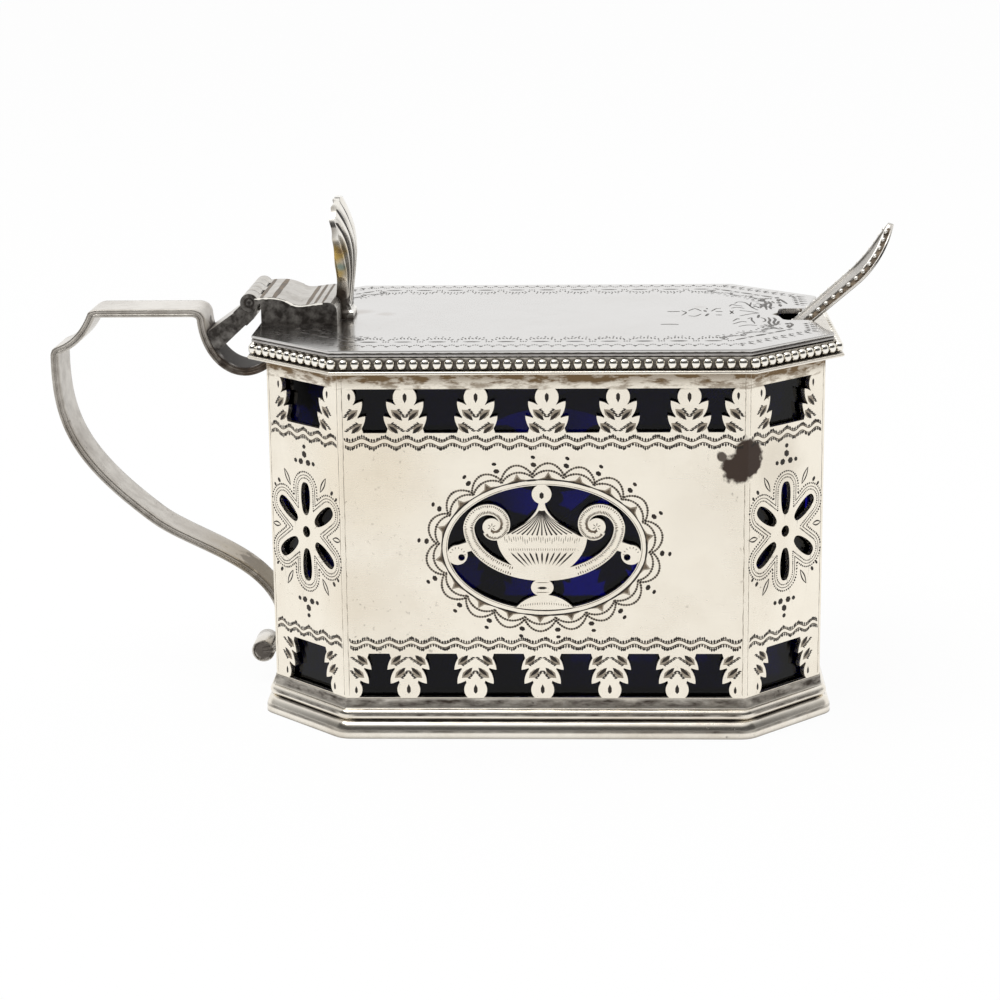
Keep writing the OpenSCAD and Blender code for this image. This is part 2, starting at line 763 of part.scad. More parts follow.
// The arm's root lies on the strap's middle line and is trimmed to the strap
arm_root = [15 : 19];
module hinge_arm_outline() {
    reach = [cos(arm_slope), sin(arm_slope)];
    rise = [-sin(arm_slope), cos(arm_slope)];
    neck = [pin_x, pin_z] + collar_start * reach - arm_drop * rise;
    difference() {
        polygon(concat([for (k = arm_root) bow_path[k]], [neck + arm_half * rise, neck - arm_half * rise]));
        handle_outline();
    }
}

module hinge_arm() {
    color(silver) difference() {
        union() {
            across(-arm_width / 2, arm_width / 2) hinge_arm_outline();
            across(knuckle_start(1), knuckle_end(3)) along_arm()
                translate([collar_start - tie, -collar_half]) square([collar_l + tie, 2 * collar_half]);
            for (k = fixed_knuckles) across(knuckle_start(k), knuckle_end(k)) along_arm()
                polygon([[collar_end - tie, collar_half], [0, arm_drop + knuckle_r / 2],
                         [0, arm_drop - knuckle_r / 2], [collar_end - tie, -collar_half]]);
            knuckles(fixed_knuckles);
        }
        pin_hole();
    }
}

module hinge_pin() {
    color(silver) across(-barrel_l / 2, barrel_l / 2) at_pin() circle(pin_r);
}

lid_end_x = end_x + lid_reach - lid_shift;

// Plan of the spoon notch, open at the lid's end
module notch() {
    slot_x = lid_end_x - notch_l + notch_point;
    flare_x = lid_end_x - notch_flare;
    half = notch_w / 2;
    mouth = mouth_w / 2;
    flare = curve([[flare_x, half], [flare_x + 0.55 * notch_flare, half + notch_corner],
                   [flare_x + 0.45 * notch_flare, mouth - 4 * notch_corner],
                   [lid_end_x + tie / 2, mouth]], 12);
    edge = concat([[lid_end_x - notch_l, 0], [slot_x - 0.3 * notch_point, 0.3 * half],
                   [slot_x, half - notch_corner], [slot_x + notch_corner, half]],
                  flare, [[lid_end_x + spare, mouth]]);
    polygon(concat(edge, [for (k = [len(edge) - 1 : -1 : 1]) [edge[k].x, -edge[k].y]]));
}

module lid_layer(z0, z1, o) {
    translate([-lid_shift, 0, z0]) linear_extrude(z1 - z0) polygon(corners(o));
}

module lid_plate() {
    line_z = lid_z + (lid_t - edge_line_h) / 2;
    color(silver) difference() {
        union() {
            lid_layer(lid_z, line_z, lid_reach);
            lid_layer(line_z, line_z + edge_line_h, lid_reach - edge_line_d);
            lid_layer(line_z + edge_line_h, lid_top, lid_reach);
        }
        translate([0, 0, lid_z - spare]) linear_extrude(lid_t + 2 * spare) notch();
    }
}

// The hinge leaf's strap, drawn from the pin: it waves over and turns down to the lid
near_foot_x = hinge_out - lid_reach - lid_shift + leaf_t / 2;
leaf_brow = -hinge_up + leaf_rise - leaf_t / 2;
leaf_turn_x = leaf_l - leaf_turn;
function leaf_at(along, up) = [along * leaf_l, up * leaf_t];
leaf_path = concat(
    curve([leaf_at(0.05, 0.22), leaf_at(0.18, 0.39), leaf_at(0.32, 0.67), leaf_at(0.46, -0.33)], 8),
    curve([leaf_at(0.46, -0.33), leaf_at(0.58, -1.44), leaf_at(0.71, -0.56),
           [leaf_turn_x - 0.4 * leaf_turn, leaf_brow]], 8, 1),
    curve([[leaf_turn_x, leaf_brow], [leaf_turn_x + 0.7 * leaf_turn, leaf_brow],
           [leaf_l, leaf_brow - 0.3 * leaf_turn], [leaf_l, leaf_brow - leaf_turn]], 4),
    [[leaf_l, -hinge_up]]);
module hinge_leaf_outline() {
    at_pin() {
        strip(leaf_path, level(leaf_path, leaf_t / 2));
        translate([near_foot_x, -hinge_up]) square([leaf_t, hinge_up + leaf_t / 2]);
    }
}

// The cheeks that close the leaf's two ends, from the strap down to the lid
module hinge_cheek_outline() {
    at_pin() polygon(concat([[near_foot_x, -hinge_up]], [for (q = leaf_path) if (q.x >= near_foot_x) q]));
}

module lid_hinge_leaf() {
    half = barrel_l / 2;
    color(silver) difference() {
        union() {
            difference() {
                across(-half, half) hinge_leaf_outline();
                knuckle_room(fixed_knuckles);
            }
            for (s = [0, 1]) mirror([0, s, 0]) across(half - cheek_t, half) hinge_cheek_outline();
            knuckles(lid_knuckles);
        }
        pin_hole();
    }
}

// A closed sheet between two grids of points with rows along u and columns along v
function grid_faces(rows, cols) =
    let (n = rows * cols)
    concat(
        [for (i = [0 : rows - 2], j = [0 : cols - 2], f = [0, 1]) let (a = i * cols + j)
            f == 0 ? [a, a + 1, a + cols + 1] : [a, a + cols + 1, a + cols]],
        [for (i = [0 : rows - 2], j = [0 : cols - 2], f = [0, 1]) let (a = n + i * cols + j)
            f == 0 ? [a, a + cols + 1, a + 1] : [a, a + cols, a + cols + 1]],
        [for (i = [0 : rows - 2], f = [0, 1]) let (a = i * cols)
            f == 0 ? [a, a + cols, n + a + cols] : [a, n + a + cols, n + a]],
        [for (i = [0 : rows - 2], f = [0, 1]) let (a = i * cols + cols - 1)
            f == 0 ? [a, n + a + cols, a + cols] : [a, n + a, n + a + cols]],
        [for (j = [0 : cols - 2], f = [0, 1]) f == 0 ? [j, n + j + 1, j + 1] : [j, n + j, n + j + 1]],
        [for (j = [0 : cols - 2], f = [0, 1]) let (a = (rows - 1) * cols + j)
            f == 0 ? [a, a + 1, n + a + 1] : [a, n + a + 1, n + a]]);
module sheet(front, back) {
    rows = len(front);
    cols = len(front[0]);
    points = concat([for (r = front, q = r) q], [for (r = back, q = r) q]);
    polyhedron(points, grid_faces(rows, cols), convexity = 6);
}

// Shell of the thumbpiece, u from foot to tip and v from side to side
thumb_x = pin_x + leaf_l + leaf_t / 2 + thumb_t + solder_gap;
function thumb_grow(u) = max(0, min(1, (u - thumb_neck) / (thumb_wide - thumb_neck)));
function thumb_half(u) =
    let (shell = thumb_stem_w + (thumb_w - thumb_stem_w) * pow(sin(90 * thumb_grow(u)), 1.6))
    let (top = max(0, u - thumb_wide) / (1 - thumb_wide))
    max(thumb_tip_w, shell * sqrt(1 - top * top));
function thumb_front(u, v) =
    let (w = thumb_half(u))
    let (swell = thumb_swell * sin(180 * pow(u, 1.5)))
    let (lean = thumb_lean * pow(max(0, 2 * u - 1), 2))
    let (flute = flute_d * min(1, 2 * thumb_grow(u)) * abs(sin(90 * thumb_flutes * (v + 1))))
    let (curl = thumb_curl * thumb_grow(u) * pow(w / thumb_w * v, 2))
    [thumb_x + swell - lean - curl - flute, w * v, lid_top + thumb_h * u];
function thumb_back(u, v) = thumb_front(u, v) - [thumb_t + (thumb_tip_t - thumb_t) * u, 0, 0];

module thumbpiece() {
    rows = 26;
    cols = 28;
    color(silver) sheet(
        [for (i = [0 : rows]) [for (j = [0 : cols]) thumb_front(i / rows, 2 * j / cols - 1)]],
        [for (i = [0 : rows]) [for (j = [0 : cols]) thumb_back(i / rows, 2 * j / cols - 1)]]);
}

// Glass tub that stands on the base sheet
glass_out = -wall_t - glass_gap;
glass_in = glass_out - glass_t;
glass_top = lid_z - glass_headroom;
glass_floor_z = base_t + glass_floor;

module glass_liner() {
    color(cobalt) difference() {
        translate([0, 0, base_t]) linear_extrude(glass_top - base_t) polygon(corners(glass_out));
        translate([0, 0, glass_floor_z]) linear_extrude(glass_top) polygon(corners(glass_in));
    }
}

// Spoon: it leans on the glass at the right and its bowl stands on the glass floor
spoon_dir = [cos(spoon_slope), sin(spoon_slope)];
spoon_up = [-sin(spoon_slope), cos(spoon_slope)];
spoon_lean = [end_x + glass_in, glass_top] + spoon_gap * spoon_up;
spoon_tip_z = glass_floor_z + spoon_tip_up;
spoon_inside = (spoon_lean.y - spoon_tip_z) / sin(spoon_slope);
spoon_tip = spoon_lean - spoon_inside * spoon_dir;
spoon_bend_start = spoon_inside + spoon_straight;
spoon_l = spoon_bend_start + spoon_bend_r * spoon_bend * PI / 180;
function spoon_turn(s) = max(0, s - spoon_bend_start) / spoon_bend_r * 180 / PI;
function spoon_at(s, h) =
    let (t = spoon_turn(s))
    let (base = spoon_tip + min(s, spoon_bend_start) * spoon_dir)
    let (bend = spoon_bend_r * (sin(t) * spoon_dir + (1 - cos(t)) * spoon_up))
    base + bend + h * (cos(t) * spoon_up - sin(t) * spoon_dir);
spoon_end_w = 0.15;
function bowl_u(s) = (2 * s - spoon_bowl_l) / spoon_bowl_l;
function bowl_half(s) = abs(bowl_u(s)) >= 1 ? 0 : spoon_bowl_w * sqrt(1 - pow(bowl_u(s), 2));
function stem_half(s) =
    let (t = max(0, min(1, (s - spoon_bowl_l) / (spoon_l - spoon_bowl_l - spoon_tip_l))))
    let (w = spoon_stem_w + (spoon_grip_w - spoon_stem_w) * pow(t, 1.6))
    let (q = max(0, s - spoon_l + spoon_tip_l) / spoon_tip_l)
    w * sqrt(max(0, 1 - q * q));
function spoon_half(s) = max(spoon_end_w, bowl_half(s), s < spoon_bowl_l / 2 ? 0 : stem_half(s));
function bowl_sink(s, v) =
    let (u = min(1, abs(bowl_u(s))))
    spoon_bowl_d * (1 - u * u) * (1 - v * v);
function spoon_point(s, v, top) =
    let (thick = s < spoon_bowl_l ? spoon_bowl_t : spoon_t * (1 - spoon_edge * v * v))
    let (p = spoon_at(s, (top ? thick : 0) - bowl_sink(s, v)))
    [p.x, spoon_half(s) * v, p.y];

module spoon() {
    bowl_rows = [for (k = [0 : 18]) spoon_bowl_l / 2 * (1 - cos(180 * k / 18))];
    stem_rows = [for (k = [1 : 26]) spoon_bowl_l + (spoon_l - spoon_tip_l - spoon_bowl_l) * k / 26];
    end_rows = [for (k = [1 : 8]) spoon_l - spoon_tip_l + spoon_tip_l * sin(90 * k / 8)];
    stations = concat(bowl_rows, stem_rows, end_rows);
    cols = 10;
    color(silver) sheet(
        [for (s = stations) [for (j = [0 : cols]) spoon_point(s, 1 - 2 * j / cols, true)]],
        [for (s = stations) [for (j = [0 : cols]) spoon_point(s, 1 - 2 * j / cols, false)]]);
}

module front_panel() {
    color(silver) long_wall(side_front);
}

module back_panel() {
    color(silver) long_wall(side_back);
}

// The end wall under the handle stays whole where the strap is soldered
module left_panel() {
    pad = strap_w / 2 + handle_pad;
    color(silver) wall(side_left) difference() {
        short_bands(side_left, end_leaf_in);
        translate([-pad, 0]) square([2 * pad, body_h]);
    }
}

module right_panel() {
    color(silver) wall(side_right) short_bands(side_right, end_leaf_in);
}

module corner_panel_front_left() {
    color(silver) corner_wall(side_front_left);
}

module corner_panel_front_right() {
    color(silver) corner_wall(side_front_right);
}

module corner_panel_back_left() {
    color(silver) corner_wall(side_back_left);
}

module corner_panel_back_right() {
    color(silver) corner_wall(side_back_right);
}

base_plate();
foot_moulding();
front_panel();
back_panel();
left_panel();
right_panel();
corner_panel_front_left();
corner_panel_front_right();
corner_panel_back_left();
corner_panel_back_right();
rim_moulding();
bead_wire();
handle();
hinge_arm();
hinge_pin();
lid_plate();
lid_hinge_leaf();
thumbpiece();
glass_liner();
spoon();
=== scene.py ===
import math

import bpy
import numpy as np
from mathutils import Matrix, Vector


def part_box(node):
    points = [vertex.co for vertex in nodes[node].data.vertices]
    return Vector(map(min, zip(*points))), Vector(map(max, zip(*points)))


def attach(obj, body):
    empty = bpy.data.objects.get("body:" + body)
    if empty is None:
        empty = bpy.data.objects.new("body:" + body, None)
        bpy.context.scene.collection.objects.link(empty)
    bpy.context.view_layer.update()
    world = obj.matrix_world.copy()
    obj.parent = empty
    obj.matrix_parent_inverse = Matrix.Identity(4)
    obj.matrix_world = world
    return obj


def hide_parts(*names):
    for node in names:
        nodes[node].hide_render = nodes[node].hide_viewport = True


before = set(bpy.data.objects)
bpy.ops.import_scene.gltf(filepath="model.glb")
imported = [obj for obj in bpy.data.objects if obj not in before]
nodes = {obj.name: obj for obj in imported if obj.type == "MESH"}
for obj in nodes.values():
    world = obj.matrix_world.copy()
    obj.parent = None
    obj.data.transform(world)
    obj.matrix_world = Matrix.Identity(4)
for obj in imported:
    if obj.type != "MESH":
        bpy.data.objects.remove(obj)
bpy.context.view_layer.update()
mm = 0.001
print("frame loaded:", len(nodes), "nodes")


class Wire:  # a shader socket that takes part in Python sums
    def __init__(self, tree, socket=None):
        self.tree = tree
        self.socket = socket

    def node(self, kind, settings=None, sockets=None, out=0):
        made = self.tree.nodes.new(kind)
        for key, value in (settings or {}).items():
            setattr(made, key, value)
        for key, value in (sockets or {}).items():
            if isinstance(value, Wire):
                self.tree.links.new(value.socket, made.inputs[key])
            else:
                made.inputs[key].default_value = value
        return Wire(self.tree, made.outputs[out])

    def math(self, operation, first, second=0.0):
        return self.node("ShaderNodeMath", {"operation": operation}, {0: first, 1: second})

    def __add__(self, other): return self.math("ADD", self, other)
    def __radd__(self, other): return self.math("ADD", other, self)
    def __sub__(self, other): return self.math("SUBTRACT", self, other)
    def __rsub__(self, other): return self.math("SUBTRACT", other, self)
    def __mul__(self, other): return self.math("MULTIPLY", self, other)
    def __rmul__(self, other): return self.math("MULTIPLY", other, self)

    def most(self, other): return self.math("MAXIMUM", self, other)

    def ease(self, low, high):  # 0 below low, 1 above high, smooth between
        return self.node("ShaderNodeMapRange", {"interpolation_type": "SMOOTHSTEP"},
                         {"Value": self, "From Min": low, "From Max": high})

    def tint(self, first, second):  # colour mix with this as the factor
        return self.node("ShaderNodeMix", {"data_type": "RGBA", "clamp_factor": True},
                         {0: self, 6: first, 7: second}, 2)

    def scaled(self, size):  # a vector stretched along its axes
        return self.node("ShaderNodeVectorMath", {"operation": "MULTIPLY"}, {0: self, 1: size})

    def along(self, axis):  # how far a vector goes along an axis
        return self.node("ShaderNodeVectorMath", {"operation": "DOT_PRODUCT"}, {0: self, 1: axis}, "Value")

    def awayFrom(self, where):  # distance from a point in millimetres
        return self.node("ShaderNodeVectorMath", {"operation": "DISTANCE"},
                         {0: self, 1: Vector(where) * mm}, "Value") * (1 / mm)

    def noise(self, scale, detail=3.0, rough=0.55):
        return self.node("ShaderNodeTexNoise", {},
                         {"Vector": self, "Scale": scale, "Detail": detail, "Roughness": rough})


def newMaterial(name):
    made = bpy.data.materials.new(name)
    made.use_nodes = True
    made.node_tree.nodes.clear()
    return made, Wire(made.node_tree)


def output(bench, shader):
    end = bench.tree.nodes.new("ShaderNodeOutputMaterial")
    bench.tree.links.new(shader.socket, end.inputs["Surface"])


# Silver: a warm white metal, greyer where it is worn and brown where polish doesn't reach, with painted shade
# darkening its hollows.
# spots: place, radius, strength; blooms: place, radius, strength, colour; rubs: place, radius
# reflectionStrips: low, high, strength by height (painted reflection); shade: direction, strength (painted shade);
# band: low, high, colour (painted shadow)
plainSilver = {"spots": [], "blooms": [], "band": None, "reflectionStrips": [], "shade": [], "rubs": []}
silverLooks = {
    "wallSilver": {
        "clean": (0.93, 0.87, 0.755, 1), "worn": (0.75, 0.67, 0.55, 1), "tarnish": (0.068, 0.045, 0.034, 1),
        "rough": 0.2, "reach": 0.9, "hollow": 1.2, "cloud": 60.0, "wear": 0.42, "speck": 0.7,
        "spots": [((28.1, -26.0, 40.4), 2.7, 1.0), ((26.1, -26.4, 38.4), 2.6, 1.0),
                  ((28.2, -25.7, 38.6), 2.0, 1.0), ((24.3, -26.4, 39.9), 0.9, 0.9)],
        "blooms": [((20.0, -26.4, 20.0), 16.0, 0.1, (0.70, 0.64, 0.55, 1)),
                   ((-24.0, -26.4, 38.0), 12.0, 0.35, (0.78, 0.66, 0.48, 1)),
                   ((22.0, -26.4, 32.5), 8.0, 0.12, (0.60, 0.54, 0.45, 1)),
                   ((-26.5, -26.4, 20.0), 7.0, 0.3, (0.70, 0.60, 0.46, 1)),
                   ((32.0, -22.0, 38.0), 7.0, 0.35, (0.55, 0.48, 0.38, 1))],
        # a brown strip of painted shadow under the rim
        "band": (49.4, 51.3, (0.16, 0.105, 0.055, 1))},
    "mouldingSilver": {
        "clean": (0.88, 0.83, 0.74, 1), "worn": (0.64, 0.57, 0.47, 1), "tarnish": (0.05, 0.036, 0.026, 1),
        "rough": 0.14, "reach": 0.7, "hollow": 1.5, "cloud": 90.0, "wear": 0.6, "speck": 0.9,
        # dark bands of painted reflection across the foot and the rim
        "reflectionStrips": [(3.8, 5.75, 1.0), (3.0, 3.6, 0.95), (2.1, 2.55, 0.9), (0.75, 1.35, 0.8), (52.3, 54.2, 0.95)],
        "rubs": [((sx * x, sy * y, 2.6), 2.3)
                 for x, y in ((28.4, 27.6), (40.1, 15.9)) for sx in (-1, 1) for sy in (-1, 1)]},
    "beadSilver": {
        "clean": (0.93, 0.90, 0.83, 1), "worn": (0.78, 0.72, 0.62, 1), "tarnish": (0.05, 0.038, 0.028, 1),
        "rough": 0.06, "reach": 0.2, "hollow": 0.35, "cloud": 110.0, "wear": 0.35, "speck": 0.3},
    "handleSilver": {
        "clean": (0.76, 0.72, 0.655, 1), "worn": (0.42, 0.375, 0.32, 1), "tarnish": (0.05, 0.037, 0.028, 1),
        "rough": 0.17, "reach": 0.5, "hollow": 2.2, "cloud": 110.0, "wear": 0.7, "speck": 1.4,
        # the spots at x -45 and -49.2 are painted shadow in the bow between the arm and the wall
        "spots": [((-42.6, -3.4, 5.0), 1.7, 0.85), ((-42.6, 3.4, 5.0), 1.7, 0.85), ((-40.2, 0.0, 17.5), 6.5, 0.6),
                  ((-45.0, 1.0, 48.6), 6.0, 1.0), ((-49.2, 1.0, 51.0), 4.5, 0.9)],
        # the first three blooms are painted shadow and reflection, dark brown, on the bow's inner face
        "blooms": [((-43.5, -2.2, 48.0), 8.5, 1.0, (0.075, 0.052, 0.036, 1)),
                   ((-43.5, 2.2, 48.0), 8.5, 1.0, (0.075, 0.052, 0.036, 1)),
                   ((-49.5, -1.0, 50.8), 5.6, 0.9, (0.085, 0.06, 0.042, 1)),
                   ((-52.0, 0.0, 22.6), 5.5, 0.5, (0.38, 0.33, 0.27, 1)),
                   ((-45.5, 0.0, 18.0), 8.5, 0.7, (0.34, 0.27, 0.17, 1)),
                   ((-70.0, -3.0, 36.0), 6.0, 0.4, (0.45, 0.40, 0.34, 1))],
        "shade": [((0.97, 0, 0.25), 0.32), ((0, -1, 0), 0.4), ((0, 1, 0), 0.4)]},
    "hingeSilver": {
        "clean": (0.78, 0.745, 0.69, 1), "worn": (0.55, 0.50, 0.43, 1), "tarnish": (0.032, 0.026, 0.022, 1),
        "rough": 0.18, "reach": 1.0, "hollow": 1.3, "cloud": 160.0, "wear": 0.6, "speck": 1.0,
        "shade": [((0, -1, 0), 1.0), ((0, 1, 0), 1.0), ((0.7, 0, -0.7), 0.8), ((0, 0, 1), 0.3)]},
    "lidSilver": {
        "clean": (0.64, 0.625, 0.605, 1), "worn": (0.57, 0.545, 0.515, 1), "tarnish": (0.12, 0.09, 0.075, 1),
        "rough": 0.12, "reach": 0.7, "hollow": 1.0, "cloud": 60.0, "wear": 0.35, "speck": 0.35,
        "blooms": [((-27.6, 3.4, 55.0), 2.8, 0.6, (0.36, 0.30, 0.25, 1)),
                   ((-23.5, 1.5, 55.0), 2.0, 0.5, (0.40, 0.34, 0.29, 1)),
                   ((22.3, 6.4, 55.0), 1.4, 0.4, (0.42, 0.37, 0.32, 1)),
                   ((-30.0, -7.0, 55.0), 4.5, 0.4, (0.45, 0.40, 0.35, 1))],
        # a dark band of painted reflection on the lid's edge
        "reflectionStrips": [(54.1, 54.55, 0.5)]},
    "thumbSilver": {
        "clean": (0.90, 0.875, 0.82, 1), "worn": (0.68, 0.61, 0.50, 1), "tarnish": (0.05, 0.036, 0.026, 1),
        "rough": 0.11, "reach": 0.9, "hollow": 2.6, "cloud": 170.0, "wear": 0.4, "speck": 0.5,
        "spots": [((-30.0, -2.4, 56.6), 2.0, 0.9), ((-29.8, -2.6, 58.4), 1.3, 0.8)],
        "blooms": [((-29.9, -5.2, 65.0), 2.6, 1.0, (0.60, 0.42, 0.13, 1)),
                   ((-29.9, -4.2, 62.0), 2.4, 1.0, (0.55, 0.42, 0.18, 1)),
                   ((-29.3, -4.4, 62.9), 1.0, 0.9, (0.30, 0.40, 0.36, 1)),
                   ((-29.2, -5.3, 65.4), 0.9, 0.85, (0.20, 0.13, 0.08, 1)),
                   ((-29.9, -2.7, 58.8), 2.2, 0.9, (0.15, 0.105, 0.07, 1)),
                   ((-30.6, -6.0, 68.3), 1.7, 0.8, (0.24, 0.21, 0.175, 1)),
                   ((-30.4, -4.4, 70.9), 1.3, 0.75, (0.26, 0.23, 0.19, 1))],
        "shade": [((-0.86, -0.5, 0.1), 0.6), ((-0.86, 0.5, 0.1), 0.6)]},
    "spoonSilver": {
        "clean": (0.72, 0.69, 0.64, 1), "worn": (0.52, 0.475, 0.42, 1), "tarnish": (0.045, 0.034, 0.027, 1),
        "rough": 0.14, "reach": 0.6, "hollow": 2.3, "cloud": 140.0, "wear": 0.5, "speck": 0.6,
        "shade": [((-0.66, 0, 0.75), 0.42)]},
    "pearlSilver": {
        "clean": (0.96, 0.93, 0.87, 1), "worn": (0.80, 0.75, 0.67, 1), "tarnish": (0.06, 0.046, 0.036, 1),
        "rough": 0.34, "reach": 0.15, "hollow": 0.5, "cloud": 140.0, "wear": 0.3, "speck": 0.2},
}

# Grain of the metal: noise scales, and the depth in millimetres of the fine relief
silverGrain = {"patch": 5.0, "speck": 1500.0, "scuff": (240.0, 240.0, 2600.0), "streak": 330.0,
               "streakWay": (1.0, 1.0, 3.2), "relief": 0.16, "reliefDeep": 0.02}


def silverFinish(name):
    look = {**plainSilver, **silverLooks[name]}
    made, bench = newMaterial(name)
    place = bench.node("ShaderNodeTexCoord", out="Object")
    facing = bench.node("ShaderNodeTexCoord", out="Normal")
    cloud = place.noise(look["cloud"], 4.0, 0.6)
    patch = place.noise(look["cloud"] * silverGrain["patch"], 4.0, 0.6)
    speck = place.noise(silverGrain["speck"], 2.0)
    scuff = place.scaled(silverGrain["scuff"]).noise(1.0, 3.0, 0.6)  # fine polishing lines
    # darker in hollows by ambient occlusion: tarnish that gathers there, and painted shade
    free = bench.node("ShaderNodeAmbientOcclusion", {"samples": 6}, {"Distance": look["reach"] * mm}, "AO")
    tarnishAndShade = ((1 - free) * look["hollow"]).ease(0.12, 1.0)
    # painted shade: faces turned the given way are made darker
    for axis, depth in look["shade"]:
        turned = facing.along(axis).ease(0.35, 0.95)
        tarnishAndShade = tarnishAndShade.most(turned * (0.9 + (patch - 0.5) * 0.9) * depth)
    for where, radius, depth in look["spots"]:
        ragged = place.awayFrom(where) * (1 / radius) + (patch - 0.5) * 1.7 + (speck - 0.5) * 0.3
        tarnishAndShade = tarnishAndShade.most((1 - ragged.ease(0.72, 1.0)) * depth)
    height = place.along((0, 0, 1)) * (1 / mm)
    streak = place.scaled(silverGrain["streakWay"]).noise(silverGrain["streak"], 4.0, 0.65)
    # painted reflection: dark bands by height, streaked
    for low, high, depth in look["reflectionStrips"]:
        soft = (high - low) * 0.35
        within = height.ease(low, low + soft) * (1 - height.ease(high - soft, high))
        tarnishAndShade = tarnishAndShade.most(within * (0.75 + (streak - 0.5) * 1.6) * depth)
    for where, radius in look["rubs"]:  # polished by handling
        tarnishAndShade = tarnishAndShade * place.awayFrom(where).ease(0.35 * radius, radius)
    tarnishAndShade = tarnishAndShade + speck.ease(0.64, 0.76) * cloud.ease(0.48, 0.7) * look["speck"] * 0.6
    tone = (cloud * 0.65 + patch * 0.35).ease(0.40, 0.72) * look["wear"]
    colour = tone.tint(look["clean"], look["worn"])
    for where, radius, depth, bloom in look["blooms"]:
        near = 1 - (place.awayFrom(where) * (1 / radius) + (patch - 0.5) * 0.8).ease(0.2, 1.0)
        colour = (near * depth).tint(colour, bloom)
    if look["band"]:  # painted shadow under the rim, a brown strip
        low, high, brown = look["band"]
        amount = height.ease(low, high) * 0.7 + height.ease(low - 0.2, low) * streak.ease(0.42, 0.62) * 0.62
        colour = amount.tint(colour, brown)
    colour = tarnishAndShade.tint(colour, look["tarnish"])
    rough = look["rough"] + cloud * 0.08 + scuff * 0.05 + tarnishAndShade * 0.34
    bump = bench.node("ShaderNodeBump", {}, {
        "Strength": silverGrain["relief"], "Distance": silverGrain["reliefDeep"] * mm,
        "Height": scuff * 0.6 + speck * 0.4 + patch * 0.8})
    shader = bench.node("ShaderNodeBsdfPrincipled", {}, {
        "Base Color": colour, "Roughness": rough, "Metallic": 1 - tarnishAndShade * 0.45, "Normal": bump})
    output(bench, shader)
    return made


def engravedFinish(name, deep, pale):
    made, bench = newMaterial(name)
    place = bench.node("ShaderNodeTexCoord", out="Object")
    grain = place.noise(900.0, 3.0)
    shader = bench.node("ShaderNodeBsdfPrincipled", {}, {
        "Base Color": grain.ease(0.35, 0.75).tint(deep, pale), "Roughness": 0.35 + grain * 0.3, "Metallic": 0.35})
    output(bench, shader)
    return made


# Glass: a deep blue, cloudier in swirls, with a slight ripple
glassLook = {"deep": (0.0035, 0.003, 0.10, 1), "pale": (0.010, 0.007, 0.30, 1), "swirl": 45.0, "ripple": 240.0,
             "bend": 1.26, "relief": 0.25, "reliefDeep": 0.15}


def glassFinish(name):
    made, bench = newMaterial(name)
    place = bench.node("ShaderNodeTexCoord", out="Object")
    swirl = place.noise(glassLook["swirl"], 2.0)
    ripple = place.noise(glassLook["ripple"], 2.0)
    bump = bench.node("ShaderNodeBump", {}, {
        "Strength": glassLook["relief"], "Distance": glassLook["reliefDeep"] * mm, "Height": swirl + ripple * 0.3})
    shader = bench.node("ShaderNodeBsdfPrincipled", {}, {
        "Base Color": swirl.ease(0.42, 0.62).tint(glassLook["deep"], glassLook["pale"]),
        "Roughness": 0.02 + ripple * 0.05, "IOR": glassLook["bend"], "Transmission Weight": 1.0, "Normal": bump})
    output(bench, shader)
    return made


silver = {name: silverFinish(name) for name in silverLooks}
inkBlack = engravedFinish("engravedDark", (0.016, 0.012, 0.009, 1), (0.05, 0.037, 0.027, 1))
inkBrown = engravedFinish("engravedBrown", (0.09, 0.066, 0.042, 1), (0.24, 0.18, 0.12, 1))
inkGrey = engravedFinish("engravedGrey", (0.05, 0.045, 0.04, 1), (0.17, 0.155, 0.14, 1))
inkHaze = engravedFinish("engravedHaze", (0.34, 0.285, 0.215, 1), (0.52, 0.45, 0.36, 1))
cobalt = glassFinish("cobaltGlass")
print("finishes made:", len(silver) + 5)

# The CAD pieces keep their shapes: each gets its finish, and those in edgeRounds get softer edges
wallPanels = ["front_panel", "back_panel", "left_panel", "right_panel", "corner_panel_front_left",
              "corner_panel_front_right", "corner_panel_back_left", "corner_panel_back_right"]
nodeLooks = {
    "wallSilver": wallPanels + ["base_plate"],
    "mouldingSilver": ["foot_moulding", "rim_moulding"],
    "beadSilver": ["bead_wire"],
    "handleSilver": ["handle"],
    "hingeSilver": ["hinge_arm", "hinge_pin", "lid_hinge_leaf"],
    "lidSilver": ["lid_plate"],
    "thumbSilver": ["thumbpiece"],
    "spoonSilver": ["spoon"],
}
edgeRounds = {**dict.fromkeys(wallPanels, 0.07), "hinge_arm": 0.16, "lid_plate": 0.1, "lid_hinge_leaf": 0.14,
              "glass_liner": 0.3}
edgeLook = {"weld": 0.002, "segments": 2, "angle": 40}  # weld in millimetres, angle in degrees


def dress(name, material):
    piece = nodes[name]
    piece.data.materials.clear()
    piece.data.materials.append(material)


for lookName, members in nodeLooks.items():
    for member in members:
        dress(member, silver[lookName])
dress("glass_liner", cobalt)
for name, width in edgeRounds.items():
    weld = nodes[name].modifiers.new("weld", "WELD")
    weld.merge_threshold = edgeLook["weld"] * mm
    bevel = nodes[name].modifiers.new("edge", "BEVEL")
    bevel.width = width * mm
    bevel.segments = edgeLook["segments"]
    bevel.limit_method = "ANGLE"
    bevel.angle_limit = math.radians(edgeLook["angle"])
print("CAD pieces dressed")


